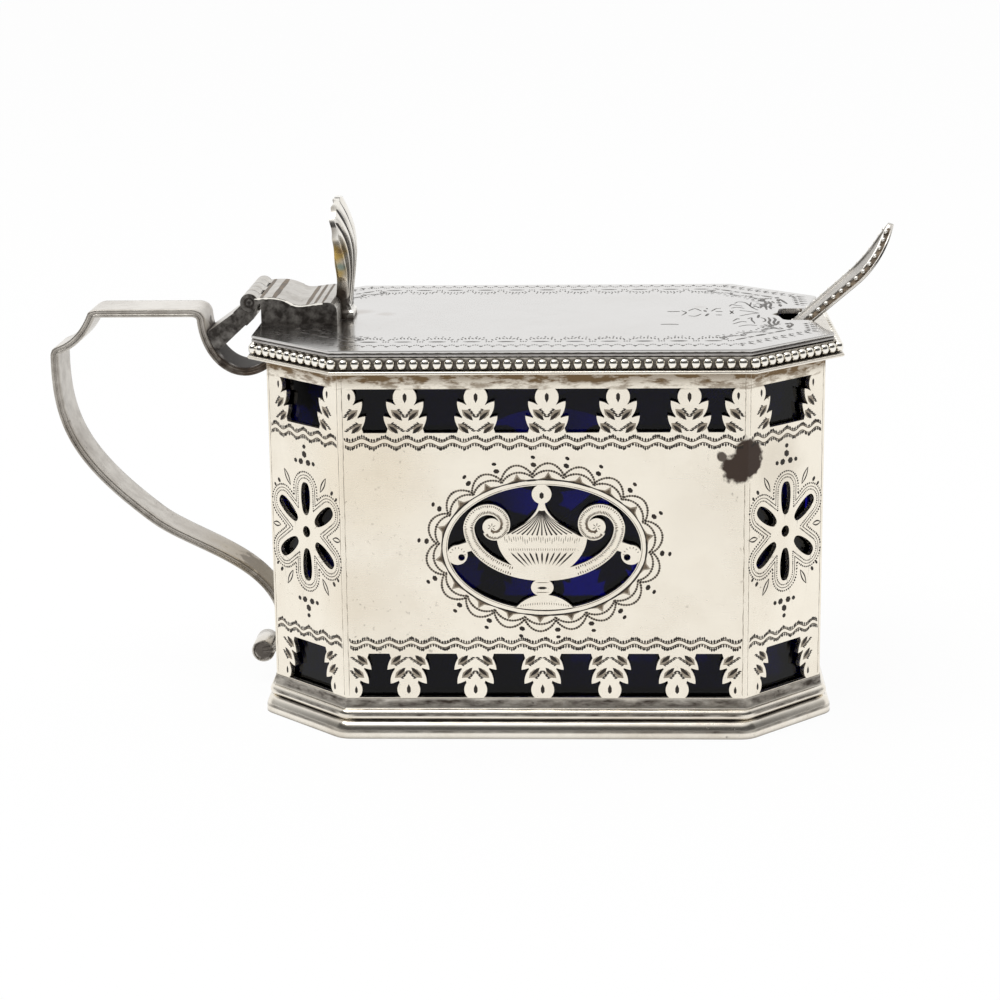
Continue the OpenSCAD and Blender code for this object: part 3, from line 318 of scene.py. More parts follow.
def addPiece(name, points, faces, material, body, sharp=None):  # points in metres, closed
    mesh = bpy.data.meshes.new(name)
    mesh.from_pydata([tuple(p) for p in points], [], faces)
    mesh.materials.append(material)
    if sharp is not None:
        mesh.polygons.foreach_set("use_smooth", [True] * len(mesh.polygons))
        mesh.set_sharp_from_angle(angle=math.radians(sharp))
    made = bpy.data.objects.new(name, mesh)
    bpy.context.collection.objects.link(made)
    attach(made, body)
    return made


def hoopFaces(first, rings, size, flip=False, closed=False, caps=True):  # faces round a run of rings of points
    faces = []
    for n in range(rings if closed else rings - 1):
        row, above = first + n * size, first + (n + 1) % rings * size
        for k in range(size):
            m = (k + 1) % size
            if flip:
                faces.append((row + k, above + k, above + m, row + m))
            else:
                faces.append((row + k, row + m, above + m, above + k))
    if caps and not closed:
        last = first + (rings - 1) * size
        start, end = tuple(range(first, first + size)), tuple(range(last, last + size))
        faces += [start, end[::-1]] if flip else [start[::-1], end]
    return faces


def ballWays(rows, cols):  # directions from the middle of a ball, from pole to pole
    ways = []
    for m in range(rows + 1):
        polar = math.pi * m / rows
        for n in range(cols if 0 < m < rows else 1):
            turn = 2 * math.pi * n / cols
            ways.append((math.sin(polar) * math.cos(turn), math.sin(polar) * math.sin(turn), math.cos(polar)))
    return ways


def ballFaces(first, rows, cols, flip=False):  # for points that follow ballWays
    last = first + 1 + (rows - 1) * cols
    faces = hoopFaces(first + 1, rows - 1, cols, flip, caps=False)
    for n in range(cols):
        m = (n + 1) % cols
        a, b = (m, n) if flip else (n, m)
        faces += [(first, first + 1 + b, first + 1 + a), (last - cols + a, last - cols + b, last)]
    return faces


def bezier(c, count, first=0):
    path = []
    for k in range(first, count + 1):
        t = k / count
        weights = ((1 - t) ** 3, 3 * (1 - t) ** 2 * t, 3 * (1 - t) * t * t, t ** 3)
        path.append((sum(w * p[0] for w, p in zip(weights, c)), sum(w * p[1] for w, p in zip(weights, c))))
    return path


def smooth(low, high, value):
    t = max(0.0, min(1.0, (value - low) / (high - low)))
    return t * t * (3 - 2 * t)


# Handle: a strap with a ribbed edge, from the upper joint round to the lobe, in millimetres
handleShape = {
    "endX": -39.0, "jointZ": 50.05, "sag": 5.3, "restIn": -49.8, "restOut": -65.6, "restZ": 56.2, "gripX": -71.34,
    "shoulderZ": 50.7, "waist": (-58.05, 25.4), "waistSlope": 38.4, "waistIn": 13.3, "waistDrop": 25.3,
    "strapX": -39.575, "lowerZ": 9.0, "halfTop": 4.3, "halfFoot": 3.0, "thick": 1.15,
    "edge": [(1.0, 0.5), (0.24, 0.5), (0.08, 0.45), (0.01, 0.36), (0.0, 0.24), (0.04, 0.14), (0.13, 0.07)],
    "worn": (0.75, 0.35, 0.16), "wornTurn": 0.975, "lobe": (-42.6, 5.0), "lobeR": 1.7, "lobeSteps": 40,
    "lobeEdge": [(0.28, 0.01176), (0.2, 0.75), (0.0, 0.82), (0.06, 0.92), (0.3, 1.0)],  # inset, share of lobeR
}


def handlePath():
    h = handleShape
    drop, sag, gap = h["restZ"] - h["shoulderZ"], h["sag"], h["endX"] - h["restIn"]
    path = bezier([(h["endX"], h["jointZ"]), (h["endX"] - 0.43 * gap, h["jointZ"] - sag),
                   (h["endX"] - 0.94 * gap, h["jointZ"] - 0.26 * sag), (h["restIn"], h["restZ"] - 0.25 * drop)], 30)
    path += [(h["restIn"], h["restZ"])]
    path += [(h["restIn"] + (h["restOut"] - h["restIn"]) * k / 6, h["restZ"]) for k in range(1, 6)]
    out = h["restOut"]
    path += bezier([(out, h["restZ"]), (out - 0.11 * drop, h["restZ"] - 0.26 * drop),
                    (out - 0.37 * drop, h["shoulderZ"] + 0.16 * drop), (h["gripX"], h["shoulderZ"])], 14)
    wx, wz = h["waist"]
    dx, dz = math.cos(math.radians(h["waistSlope"])), -math.sin(math.radians(h["waistSlope"]))
    pull = 1.11 * h["waistIn"]
    path += bezier([(h["gripX"], h["shoulderZ"]),
                    (h["gripX"] - 0.03 * h["waistIn"], h["shoulderZ"] - 0.42 * h["waistDrop"]),
                    (wx - pull * dx, wz - pull * dz), (wx, wz)], 44, 1)
    push, fall = 0.53 * h["waistIn"], wz - h["lowerZ"]
    path += bezier([(wx, wz), (wx + push * dx, wz + push * dz), (h["strapX"], wz - 0.41 * fall),
                    (h["strapX"], h["lowerZ"])], 44, 1)
    lx, lz = h["lobe"]
    path += bezier([(h["strapX"], h["lowerZ"]), (h["strapX"], lz + h["lobeR"]), (h["strapX"] - h["lobeR"] / 2, lz),
                    (lx, lz)], 16, 1)
    for cut in h["worn"]:  # the corners are worn round
        rounded = [path[0]]
        for before, here, after in zip(path, path[1:], path[2:]):
            d0, d1 = np.subtract(here, before), np.subtract(after, here)
            n0, n1 = np.linalg.norm(d0), np.linalg.norm(d1)
            if d0 @ d1 < h["wornTurn"] * n0 * n1:
                rounded += [tuple(here - d0 * min(0.45, cut / n0)), tuple(here + d1 * min(0.45, cut / n1))]
            else:
                rounded.append(here)
        path = rounded + [path[-1]]
    return path


def handleHalf(z):  # half width of the strap at a height
    h = handleShape
    return h["halfFoot"] + (h["halfTop"] - h["halfFoot"]) * min(1.0, z / h["jointZ"])


def makeHandle():
    h = handleShape
    path = handlePath()
    count, t = len(path), h["thick"]
    right = [(e, b * t) for e, b in h["edge"]]
    right += [(e, -b) for e, b in reversed(right)]
    points = []
    for k, (x, z) in enumerate(path):
        d0 = np.subtract(path[k], path[k - 1]) if k else np.subtract(path[1], path[0])
        d1 = np.subtract(path[k + 1], path[k]) if k < count - 1 else d0
        d0, d1 = d0 / np.linalg.norm(d0), d1 / np.linalg.norm(d1)
        n = np.array((-d0[1] - d1[1], d0[0] + d1[0]))
        n /= np.linalg.norm(n)
        n /= max(0.5, n @ np.array((-d1[1], d1[0])))
        half = handleHalf(z)
        places = [(0.0, t / 2)] + [(half - e, b) for e, b in right] + [(0.0, -t / 2)]
        places += [(e - half, b) for e, b in reversed(right)]
        points += [Vector((x + n[0] * b, y, z + n[1] * b)) * mm for y, b in places]
    faces = hoopFaces(0, count, len(points) // count, True)
    lx, lz = h["lobe"]
    half, first = handleHalf(lz), len(points)
    turns = [2 * math.pi * k / h["lobeSteps"] for k in range(h["lobeSteps"])]
    profile = [(half - inset, share * h["lobeR"]) for inset, share in h["lobeEdge"]]
    profile += [(-y, rad) for y, rad in reversed(profile)]
    for y, rad in profile:
        points += [Vector((lx + rad * math.cos(a), y, lz + rad * math.sin(a))) * mm for a in turns]
    faces += hoopFaces(first, len(profile), h["lobeSteps"])
    piece = addPiece("handle_strap", points, faces, silver["handleSilver"], "pot", 32)
    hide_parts("handle")


makeHandle()

# Thumbpiece: a fluted shell whose flutes run out to its edge
thumbShape = {
    "x": -28.25, "z": 55.0, "height": 17.4, "half": 6.3, "stem": 2.3, "tip": 1.2, "neck": 0.15, "wide": 0.78,
    "swell": 0.95, "lean": 1.1, "curl": 1.75, "fold": 0.75, "thick": (1.65, 0.95), "thin": 0.3, "flange": 0.4,
    "fluteStep": 0.37, "fluteDepth": 0.46, "rows": 130, "cols": 120,
}
# dark strips along the flute valleys: painted shade
fluteShade = {"flutes": 3, "start": 0.1, "run": 0.88, "steps": 44, "least": 0.04, "margin": 0.99,
                "proud": Vector((0.03, 0, 0)), "sunk": Vector((-0.2, 0, 0))}


def fluteFan(u):  # how far the flutes have spread at a share of the height
    return 1.6 + 7 * u ** 2.2


def thumbPoint(u, v, back):
    h = thumbShape
    grow = max(0.0, min(1.0, (u - h["neck"]) / (h["wide"] - h["neck"])))
    top = max(0.0, u - h["wide"]) / (1 - h["wide"])
    width = (h["stem"] + (h["half"] - h["stem"]) * math.sin(math.pi / 2 * grow) ** 1.6) * math.sqrt(1 - top * top)
    foot = 1 - smooth(0.045, 0.08, u)
    width = max(h["tip"] * smooth(0, 0.02, 1.02 - u), width) + h["flange"] * foot
    y = width * v
    wave = 1 - abs(math.cos(math.pi * abs(y) / fluteFan(u) / h["fluteStep"])) ** 1.15
    flute = h["fluteDepth"] * smooth(0.12, 0.5, u) * wave * (1 - 0.6 * abs(v) ** 5)
    x = h["x"] + h["swell"] * math.sin(math.pi * u ** 1.5) - h["lean"] * max(0.0, 2 * u - 1) ** 2
    x += h["flange"] * foot - h["curl"] * smooth(0.1, 0.68, u) * (y / h["half"]) ** 2 - flute
    x -= h["fold"] * v * v * smooth(0.08, 0.16, u) * (1 - smooth(0.45, 0.75, u))
    if back:
        low, high = h["thick"]
        x -= (low + (high - low) * u) * (1 - h["thin"] * grow ** 2 * v * v) + h["flange"] * foot
    return Vector((x, y, h["z"] + h["height"] * u)) * mm


def sheetFaces(rows, cols):  # faces of a closed sheet between two grids
    n = rows * cols
    faces = []
    for i in range(rows - 1):
        for j in range(cols - 1):
            a = i * cols + j
            faces += [(a, a + 1, a + cols + 1, a + cols), (n + a, n + a + cols, n + a + cols + 1, n + a + 1)]
        a, b = i * cols, i * cols + cols - 1
        faces += [(a, a + cols, n + a + cols, n + a), (b, n + b, n + b + cols, b + cols)]
    for j in range(cols - 1):
        a = (rows - 1) * cols + j
        faces += [(j, n + j, n + j + 1, j + 1), (a, a + 1, n + a + 1, n + a)]
    return faces


def makeThumb():
    rows, cols = thumbShape["rows"], thumbShape["cols"]
    points = [thumbPoint(1 - (1 - i / rows) ** 1.15, math.sin(math.pi / 2 * (2 * j / cols - 1)), back)
              for back in (False, True) for i in range(rows + 1) for j in range(cols + 1)]
    piece = addPiece("thumb_shell", points, sheetFaces(rows + 1, cols + 1), silver["thumbSilver"], "lid",
                     50)
    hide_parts("thumbpiece")
    g = fluteShade
    points, faces = [], []
    for k in range(g["flutes"]):  # painted shade lying in the flutes
        stations = []
        for n in range(g["steps"] + 1):
            t = n / g["steps"]
            u = g["start"] + g["run"] * t
            y = (k + 0.5) * thumbShape["fluteStep"] * fluteFan(u)
            reach = abs(thumbPoint(u, 1.0, False).y) / mm
            wide = max(g["least"], (0.1 + 0.3 * u * u) * min(1.0, 6 * t, 6 * (1 - t) + 0.3))
            if y + wide < g["margin"] * reach:
                stations.append((u, y, wide, reach))
        for side in (-1, 1):
            first = len(points)
            for u, y, wide, reach in stations:
                low, mid, high = (thumbPoint(u, side * w / reach, False) for w in (y - wide, y, y + wide))
                points += [low + g["proud"] * mm, high + g["proud"] * mm, mid + g["sunk"] * mm]
            faces += hoopFaces(first, len(stations), 3, side < 0)
    addPiece("thumb_grooves", points, faces, inkBlack, "lid")


makeThumb()

# Spoon: a leaning bowl and stem, its handle edged with a rail, a row of beads and a second rail
spoonShape = {
    "slope": 41.0, "lean": (36.1, 52.2), "gap": 0.3, "tipZ": 3.8, "straight": 11.0, "bendR": 18.5, "bend": 31.0,
    "bowl": 17.0, "bowlHalf": 6.4, "bowlDeep": 3.6, "bowlThick": 0.8, "stem": 1.6, "grip": 4.6, "tip": 9.0,
    "beadPitch": 1.36, "beadR": 0.36, "beadFrom": 40.0, "beadAt": (0.7, 0.84), "beadRows": 6, "beadCols": 10,
    "edge": [(0.04, 0.14), (0.0, 0.24), (0.01, 0.38), (0.1, 0.46), (0.18, 0.45), (0.25, 0.4), (0.7, 0.64),
             (1.16, 0.88), (1.2, 1.06), (1.3, 1.17), (1.5, 1.19), (1.7, 1.13), (1.8, 0.96)],  # inset, height
    "channel": [(0.28, 0.45), (1.13, 0.9), (0.7, 0.5)],
}


def spoonFrame():
    h = spoonShape
    a = math.radians(h["slope"])
    ahead, rise = np.array((math.cos(a), math.sin(a))), np.array((-math.sin(a), math.cos(a)))
    lean = np.array(h["lean"]) + h["gap"] * rise
    inside = (lean[1] - h["tipZ"]) / math.sin(a)
    tip = lean - inside * ahead
    bendAt = inside + h["straight"]
    total = bendAt + h["bendR"] * math.radians(h["bend"])

    def at(s, lift):
        t = max(0.0, s - bendAt) / h["bendR"]
        base = tip + min(s, bendAt) * ahead
        bend = h["bendR"] * (math.sin(t) * ahead + (1 - math.cos(t)) * rise)
        return base + bend + lift * (math.cos(t) * rise - math.sin(t) * ahead)

    def half(s):
        u = (2 * s - h["bowl"]) / h["bowl"]
        bowl = h["bowlHalf"] * math.sqrt(max(0.0, 1 - u * u))
        t = max(0.0, min(1.0, (s - h["bowl"]) / (total - h["bowl"] - h["tip"])))
        q = max(0.0, s - total + h["tip"]) / h["tip"]
        stem = (h["stem"] + (h["grip"] - h["stem"]) * t ** 1.6) * max(0.0, 1 - q * q) ** 0.66
        return max(0.15, bowl, stem if s > h["bowl"] / 2 else 0.0)

    def fit(s):  # the edge narrows where the stem is thin
        return min(1.0, half(s) / 2.0)

    def taper(s):  # the edge sinks towards the tip
        return 1 - 0.35 * max(0.0, (s - total + 3) / 3) ** 2
    return at, half, fit, taper, total


def makeSpoon():
    h = spoonShape
    at, half, fit, taper, total = spoonFrame()
    bowlRows = [h["bowl"] / 2 * (1 - math.cos(math.pi * k / 40)) for k in range(41)]
    stemRows = [h["bowl"] + (total - h["tip"] - h["bowl"]) * k / 70 for k in range(1, 71)]
    endRows = [total - h["tip"] + h["tip"] * math.sin(math.pi / 2 * k / 24) for k in range(1, 25)]
    stations = bowlRows + stemRows + endRows
    inner = [k / 7 for k in range(-6, 7)]
    cols = 2 * len(h["edge"]) + len(inner)
    top, under = [], []
    for s in stations:
        w = half(s)
        grip = smooth(h["bowl"] - 1, h["bowl"] + 5, s)  # 0 in the bowl, 1 along the handle
        u = min(1.0, abs((2 * s - h["bowl"]) / h["bowl"])) if s < h["bowl"] else 1.0
        rim = [(w - e * fit(s), lift) for e, lift in h["edge"]]
        flat = rim[-1][0]
        row = rim + [(-flat * v, 0.86 + 0.08 * v * v) for v in inner] + [(-y, lift) for y, lift in reversed(rim)]
        for y, lift in row:
            v = y / w
            sink = h["bowlDeep"] * (1 - u * u) * (1 - v * v) if s < h["bowl"] else 0.0
            high = (1 - grip) * h["bowlThick"] + grip * lift * taper(s)
            low = 0.12 * max(0.0, abs(v) - 0.8) / 0.2
            for rows, level in ((top, high), (under, low)):
                x, z = at(s, level - sink)
                rows.append(Vector((x, y, z)) * mm)
    piece = addPiece("spoon_silver", top + under, sheetFaces(len(stations), cols), silver["spoonSilver"], "spoon",
                     40)
    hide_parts("spoon")

    points, faces = [], []
    for side in (-1, 1):  # beads along both edges
        fine = np.linspace(h["beadFrom"], total - 0.9, 900)
        inset, lift = h["beadAt"]
        walk = [np.array((*at(s, lift), side * (half(s) - inset * fit(s)))) for s in fine]
        run = 0.0
        for p, q in zip(walk, walk[1:]):
            run += np.linalg.norm(q - p)
            if run < h["beadPitch"]:
                continue
            run = 0.0
            centre = Vector((q[0], q[2], q[1]))
            faces += ballFaces(len(points), h["beadRows"], h["beadCols"], True)
            points += [(centre + h["beadR"] * Vector(way)) * mm for way in ballWays(h["beadRows"], h["beadCols"])]
    addPiece("spoon_beads", points, faces, silver["pearlSilver"], "spoon", 180)

    points, faces = [], []
    for side in (-1, 1):  # tarnish and painted shade in the channel behind the beads
        first = len(points)
        rows = np.linspace(h["beadFrom"] - 1, total - 0.7, 80)
        for s in rows:
            for inset, lift in h["channel"]:
                x, z = at(s, lift * taper(s))
                points.append(Vector((x, side * (half(s) - inset * fit(s)), z)) * mm)
        faces += hoopFaces(first, len(rows), 3, side < 0)
    addPiece("spoon_channel", points, faces, inkBrown, "spoon")


makeSpoon()
print("handle, thumbpiece and spoon made")

# Sides of the pot, counted from the front left corner cut, as the panels say
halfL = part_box("right_panel")[1].x
halfD = -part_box("front_panel")[0].y
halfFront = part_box("front_panel")[1].x
cornerCut = halfL - halfFront


def eightSides(out):  # corners of the plan in millimetres, moved outwards
    a, b, c = halfL / mm + out, halfD / mm + out, cornerCut / mm + out * (2 - math.sqrt(2))
    return [(-a, c - b), (c - a, -b), (a - c, -b), (a, c - b), (a, b - c), (a - c, b), (c - a, b), (-a, b - c)]


corners = [Vector((x, y, 0)) * mm for x, y in eightSides(0)]


def jitter(k):  # a steady small unevenness of hand work, from -1 to 1
    return math.sin(k * 12.9898) * 43758.5453 % 2 - 1


def ray(c, radius, angle):  # a point at an angle round a centre
    return c[0] + radius * math.cos(angle), c[1] + radius * math.sin(angle)


def fromMiddle(k, count):  # place of one of count marks in a row, from -1 to 1
    return (k - (count - 1) / 2) / ((count - 1) / 2)


class Graver:  # gathers small closed cuts on one flat face, in millimetres
    sunk = -0.06

    def __init__(self, origin, right, up, proud=0.012):  # proud: how far a cut's edge stands off the face
        self.origin, self.right, self.up = origin, right, up
        self.proud, self.crown = proud, proud * 1.5
        self.out = right.cross(up)
        self.points, self.faces = [], []

    def at(self, x, y, lift):
        return self.origin + (self.right * x + self.up * y + self.out * lift) * mm

    def blob(self, ring):  # a cut with this outline, drawn anticlockwise
        first = len(self.points)
        count = len(ring)
        midX = sum(p[0] for p in ring) / count
        midY = sum(p[1] for p in ring) / count
        self.points += [self.at(x, y, self.proud) for x, y in ring]
        self.points += [self.at(midX, midY, self.crown), self.at(midX, midY, self.sunk)]
        for k in range(count):
            a, b = first + k, first + (k + 1) % count
            self.faces += [(a, b, first + count), (b, a, first + count + 1)]

    def cut(self, a, b, width, swell=0.5):  # a lens from a to b, widest at the share swell
        ax, ay = a
        dx, dy = b[0] - ax, b[1] - ay
        length = math.hypot(dx, dy) or 1e-6
        nx, ny = -dy / length * width / 2, dx / length * width / 2
        near, far = swell * 0.6, swell + (1 - swell) * 0.4
        self.blob([(ax, ay), (ax + dx * near - nx, ay + dy * near - ny), (ax + dx * far - nx, ay + dy * far - ny),
                   b, (ax + dx * far + nx, ay + dy * far + ny), (ax + dx * near + nx, ay + dy * near + ny)])

    def dot(self, c, radius, stretch=1.0, turn=0.0):
        co, si = math.cos(turn), math.sin(turn)
        ring = []
        for k in range(6):
            u, v = radius * stretch * math.cos(k * math.pi / 3), radius * math.sin(k * math.pi / 3)
            ring.append((c[0] + u * co - v * si, c[1] + u * si + v * co))
        self.blob(ring)

    def line(self, path, width, closed=False):  # an engraved line; width is a number or one for each point
        count = len(path)
        widths = width if isinstance(width, (list, tuple)) else [width] * count
        first = len(self.points)
        for k, (x, y) in enumerate(path):
            before = path[k - 1] if closed or k else path[0]
            after = path[(k + 1) % count] if closed or k < count - 1 else path[-1]
            dx, dy = after[0] - before[0], after[1] - before[1]
            length = math.hypot(dx, dy) or 1e-6
            nx, ny = -dy / length * widths[k] / 2, dx / length * widths[k] / 2
            self.points += [self.at(x - nx, y - ny, self.proud), self.at(x + nx, y + ny, self.proud),
                            self.at(x, y, self.sunk)]
        self.faces += hoopFaces(first, count, 3, True, closed)

    def piece(self, name, body, material, slot):
        return addPiece(name, self.points, self.faces, material, body)


def sideGraver(i, proud):
    a, b = corners[i], corners[(i + 1) % 8]
    return Graver((a + b) / 2, (b - a).normalized(), Vector((0, 0, 1)), proud)


def sideWidth(i):
    return (corners[i] - corners[(i + 1) % 8]).length / mm


# Foot: a rounded plinth, a reed and a hollow, its corners worn round; reach from the walls and height
footShape = {"reach": 1.6, "edge": 0.5, "plinth": 2.4, "shoulder": 0.4, "reed": 0.8, "reedX": 0.2, "hollow": 4.0,
             "top": 5.4, "tie": 0.1, "round": 2.0, "innerRound": 0.1, "steps": 7}


def makeFoot():
    h = footShape
    lip = (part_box("base_plate")[1].x - halfL) / mm
    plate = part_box("base_plate")[1].z / mm
    quarter = [math.radians(9 * k) for k in range(11)]
    profile = [(h["reach"], 0.0)]
    profile += [(h["shoulder"] + (h["reach"] - h["shoulder"]) * math.cos(a),
                 h["edge"] + (h["plinth"] - h["edge"]) * math.sin(a)) for a in quarter]
    profile += [(h["reedX"] + h["reed"] * math.cos(a), (h["plinth"] + h["hollow"]) / 2 + h["reed"] * math.sin(a))
                for a in np.linspace(-math.pi / 2, math.pi / 2, 15)]
    profile += [(h["tie"] + (h["shoulder"] - h["tie"]) * (1 - math.sin(a)),
                 h["top"] - (h["top"] - h["hollow"]) * math.cos(a)) for a in quarter]
    outer = len(profile)
    profile += [(0.0, h["top"]), (0.0, plate), (lip, plate), (lip, 0.0)]
    points = []
    for n, (o, z) in enumerate(profile):
        ring = [Vector((x, y, z)) for x, y in eightSides(o)]
        reach = (h["round"] * o if n < outer else h["innerRound"]) * math.tan(math.pi / 8)
        for i in range(8):
            before = ring[i] + (ring[i - 1] - ring[i]).normalized() * reach
            after = ring[i] + (ring[(i + 1) % 8] - ring[i]).normalized() * reach
            for k in range(h["steps"]):
                t = k / (h["steps"] - 1)
                points.append((before * (1 - t) ** 2 + ring[i] * 2 * t * (1 - t) + after * t * t) * mm)
    faces = hoopFaces(0, len(profile), 8 * h["steps"], closed=True)
    piece = addPiece("foot_rounds", points, faces, silver["mouldingSilver"], "pot", 30)
    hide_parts("foot_moulding")


makeFoot()

# Beads round the rim: a little square, set close, with flat backs against the rim's face
beadShape = {"out": 1.605, "z": 53.17, "pitch": 1.6, "along": 0.63, "deep": 0.73, "high": 0.72, "back": 0.2,
             "square": 3.0, "rows": 8, "cols": 14}


def makeBeads():
    h = beadShape
    ring = [Vector((x, y, 0)) for x, y in eightSides(h["out"])]
    points, faces = [], []
    for i in range(8):
        start, end = ring[i], ring[(i + 1) % 8]
        along = (end - start).normalized()
        steps = round((end - start).length / h["pitch"])
        for k in range(steps):
            turn = along if k else (along + (start - ring[i - 1]).normalized()).normalized()
            out = turn.cross(Vector((0, 0, 1)))
            centre = start + (end - start) * k / steps + Vector((0, 0, h["z"]))
            faces += ballFaces(len(points), h["rows"], h["cols"])
            for d in ballWays(h["rows"], h["cols"]):
                size = sum(abs(x) ** h["square"] for x in d) ** (-1 / h["square"])
                deep = max(-h["back"], d[1] * size * h["deep"])
                rise = Vector((0, 0, d[2] * size * h["high"]))
                points.append((centre + turn * d[0] * size * h["along"] + out * deep + rise) * mm)
    piece = addPiece("rim_beads", points, faces, silver["beadSilver"], "pot", 60)
    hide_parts("bead_wire")


makeBeads()
print("foot and beads made")

# Leaves of the two pierced bands, heights measured from the window's plain edge to the leaf's foot
leafCuts = {
    "upperTop": 49.45, "lowerFoot": 5.55, "upperPitch": 9.65, "lowerPitch": 9.35,
    "upperShift": 0.5, "lowerShift": -0.35, "endIn": 0.65, "cantIn": 1.8, "margin": 4.0,
    "bud": ((0.0, 0.55), (0.0, 1.95), 0.52),
    "nicks": [((0.4, 4.36), (1.72, 3.1), 0.44), ((0.98, 6.15), (2.25, 5.05), 0.48)],
    "rows": [((0.95, 2.75), (0.05, 3.95), 6), ((1.85, 4.65), (0.15, 5.9), 8)],
    "tick": 0.55, "tickWidth": 0.19, "haze": 2.1,
}


def engraveLeaf(g, haze, x, edge, down, part=0):  # part -1 or 1 keeps one half
    def put(u, v):
        return x + u, edge + down * v
    start, end, width = leafCuts["bud"]
    if not part:
        g.cut(put(*start), put(*end), width, 0.35)
    else:
        g.cut(put(part * 0.75, start[1]), put(part * 0.75, end[1] - 0.3), width * 0.7, 0.35)
    for s in (-1, 1):
        if part and s != part:
            continue
        for a, b, width in leafCuts["nicks"]:
            g.cut(put(s * a[0], a[1]), put(s * b[0], b[1]), width, 0.35)
            haze.cut(put(s * (a[0] + 0.1), a[1] - 0.25), put(s * (b[0] + 0.2), b[1] - 0.25),
                     width * leafCuts["haze"], 0.45)
        for a, b, count in leafCuts["rows"]:
            for k in range(count):
                t = (k + 0.5) / count
                u, v = a[0] + (b[0] - a[0]) * t, a[1] + (b[1] - a[1]) * t
                lean = math.atan2(b[0] - a[0], b[1] - a[1]) + (0.75 if k % 2 else 0.35)
                du, dv = math.cos(lean) * leafCuts["tick"] / 2, -math.sin(lean) * leafCuts["tick"] / 2
                g.cut(put(s * (u - du), v - dv), put(s * (u + du), v + dv), leafCuts["tickWidth"])


# Wavy rows of ticks above and below the plain wall: each stands on a thin wavy line
waveRows = {"heights": [42.33, 41.68, 13.64, 13.1], "sides": [1, -1, 1, -1], "period": 3.1, "swing": 0.27,
            "pitch": 0.33, "tick": 0.58, "tickWidth": 0.28, "inset": 0.7, "line": 0.12}


def engraveWaves(dark, brown, width, gap):
    def wave(x):
        return waveRows["swing"] * math.cos(2 * math.pi * x / waveRows["period"])
    for height, side in zip(waveRows["heights"], waveRows["sides"]):
        count = int((width - 2 * waveRows["inset"]) / waveRows["pitch"])
        for k in range(count + 1):
            x = (k - count / 2) * waveRows["pitch"]
            if abs(x) < gap:
                continue
            size = waveRows["tick"] * (0.9 + 0.2 * jitter(k + height))
            lean = -0.25 * math.sin(2 * math.pi * x / waveRows["period"]) + 0.12 * jitter(3 * k + height)
            z = height + wave(x)
            dark.cut((x, z), (x + side * lean * size, z + side * size),
                     waveRows["tickWidth"] * (0.9 + 0.2 * jitter(k)), 0.55)
        for s in (-1, 1):
            spans = np.linspace(s * max(gap, 0.01), s * (width / 2 - waveRows["inset"]), 90)
            brown.line([(x, height + wave(x)) for x in spans], waveRows["line"])


# Solder seams: a fine broken line beside each arris
seamCuts = {"inset": 0.42, "low": 5.8, "high": 51.4, "width": 0.1, "bare": (36.2, 42.8), "steps": 60}


def engraveSeams(g, width, i):
    h, steps = seamCuts, seamCuts["steps"]
    for s in (-1, 1):
        spans = [(h["low"], h["high"])]
        if (i, s) in ((1, 1), (2, -1)):  # the dark patch hides this seam
            spans = [(h["low"], h["bare"][0]), (h["bare"][1], h["high"])]
        for start, end in spans:
            line = [(s * (width / 2 - h["inset"] + 0.04 * jitter(k + i)), start + (end - start) * k / steps)
                    for k in range(steps + 1)]
            g.line(line, [h["width"] * (0.8 + 0.5 * jitter(7 * k + i + s)) for k in range(steps + 1)])


def engraveBands(dark, brown, haze, i):
    full = sideWidth(i)
    width = full - 2 * (leafCuts["cantIn"] if i % 2 == 0 else leafCuts["endIn"])
    for edge, down, pitch, shift in ((leafCuts["upperTop"], -1, leafCuts["upperPitch"], leafCuts["upperShift"]),
                                     (leafCuts["lowerFoot"], 1, leafCuts["lowerPitch"], leafCuts["lowerShift"])):
        if i in (1, 5):
            last = width / 2 - leafCuts["margin"]
            places = [k * pitch + shift for k in range(-9, 10) if abs(k * pitch + shift) <= last]
        else:
            count = max(1, round(width / pitch))
            places = [(k / count - 0.5) * width for k in range(1, count)]
        for x in places:
            engraveLeaf(dark, haze, x, edge, down, (1 if x > 0 else -1) if i == 7 else 0)
        for s in (-1, 1):
            engraveLeaf(dark, haze, s * width / 2, edge, down, -s)
    engraveWaves(dark, brown, full, 5.0 if i == 7 else 0.0)
    engraveSeams(haze, full, i)


# Oval medallion with its urn, about the middle of the oval
urnCuts = {
    "height": 27.15, "opening": (13.3, 8.85), "ring": 0.78, "ringLine": 0.2, "ringSteps": 180, "scallops": 18,
    "start": -1.5, "arches": [(1.62, 0.7), (0.95, 0.35)], "archHaze": 0.26, "archSteps": 40,
    "dotPitch": 0.36, "dot": 0.12, "dotStretch": 1.55, "drops": [(2.15, 0.34, 1.3), (3.2, 0.25, 1.4)],
    "shift": -0.3, "ball": (7.4, 0.33), "coverTop": 5.75, "coverFoot": 1.7, "coverHalf": 5.0, "flutes": 15,
    "bowlTop": 1.55, "bowlMid": -0.55, "bowlFoot": -3.05, "gadroons": 11, "bowlTicks": 34, "footTicks": 21,
}


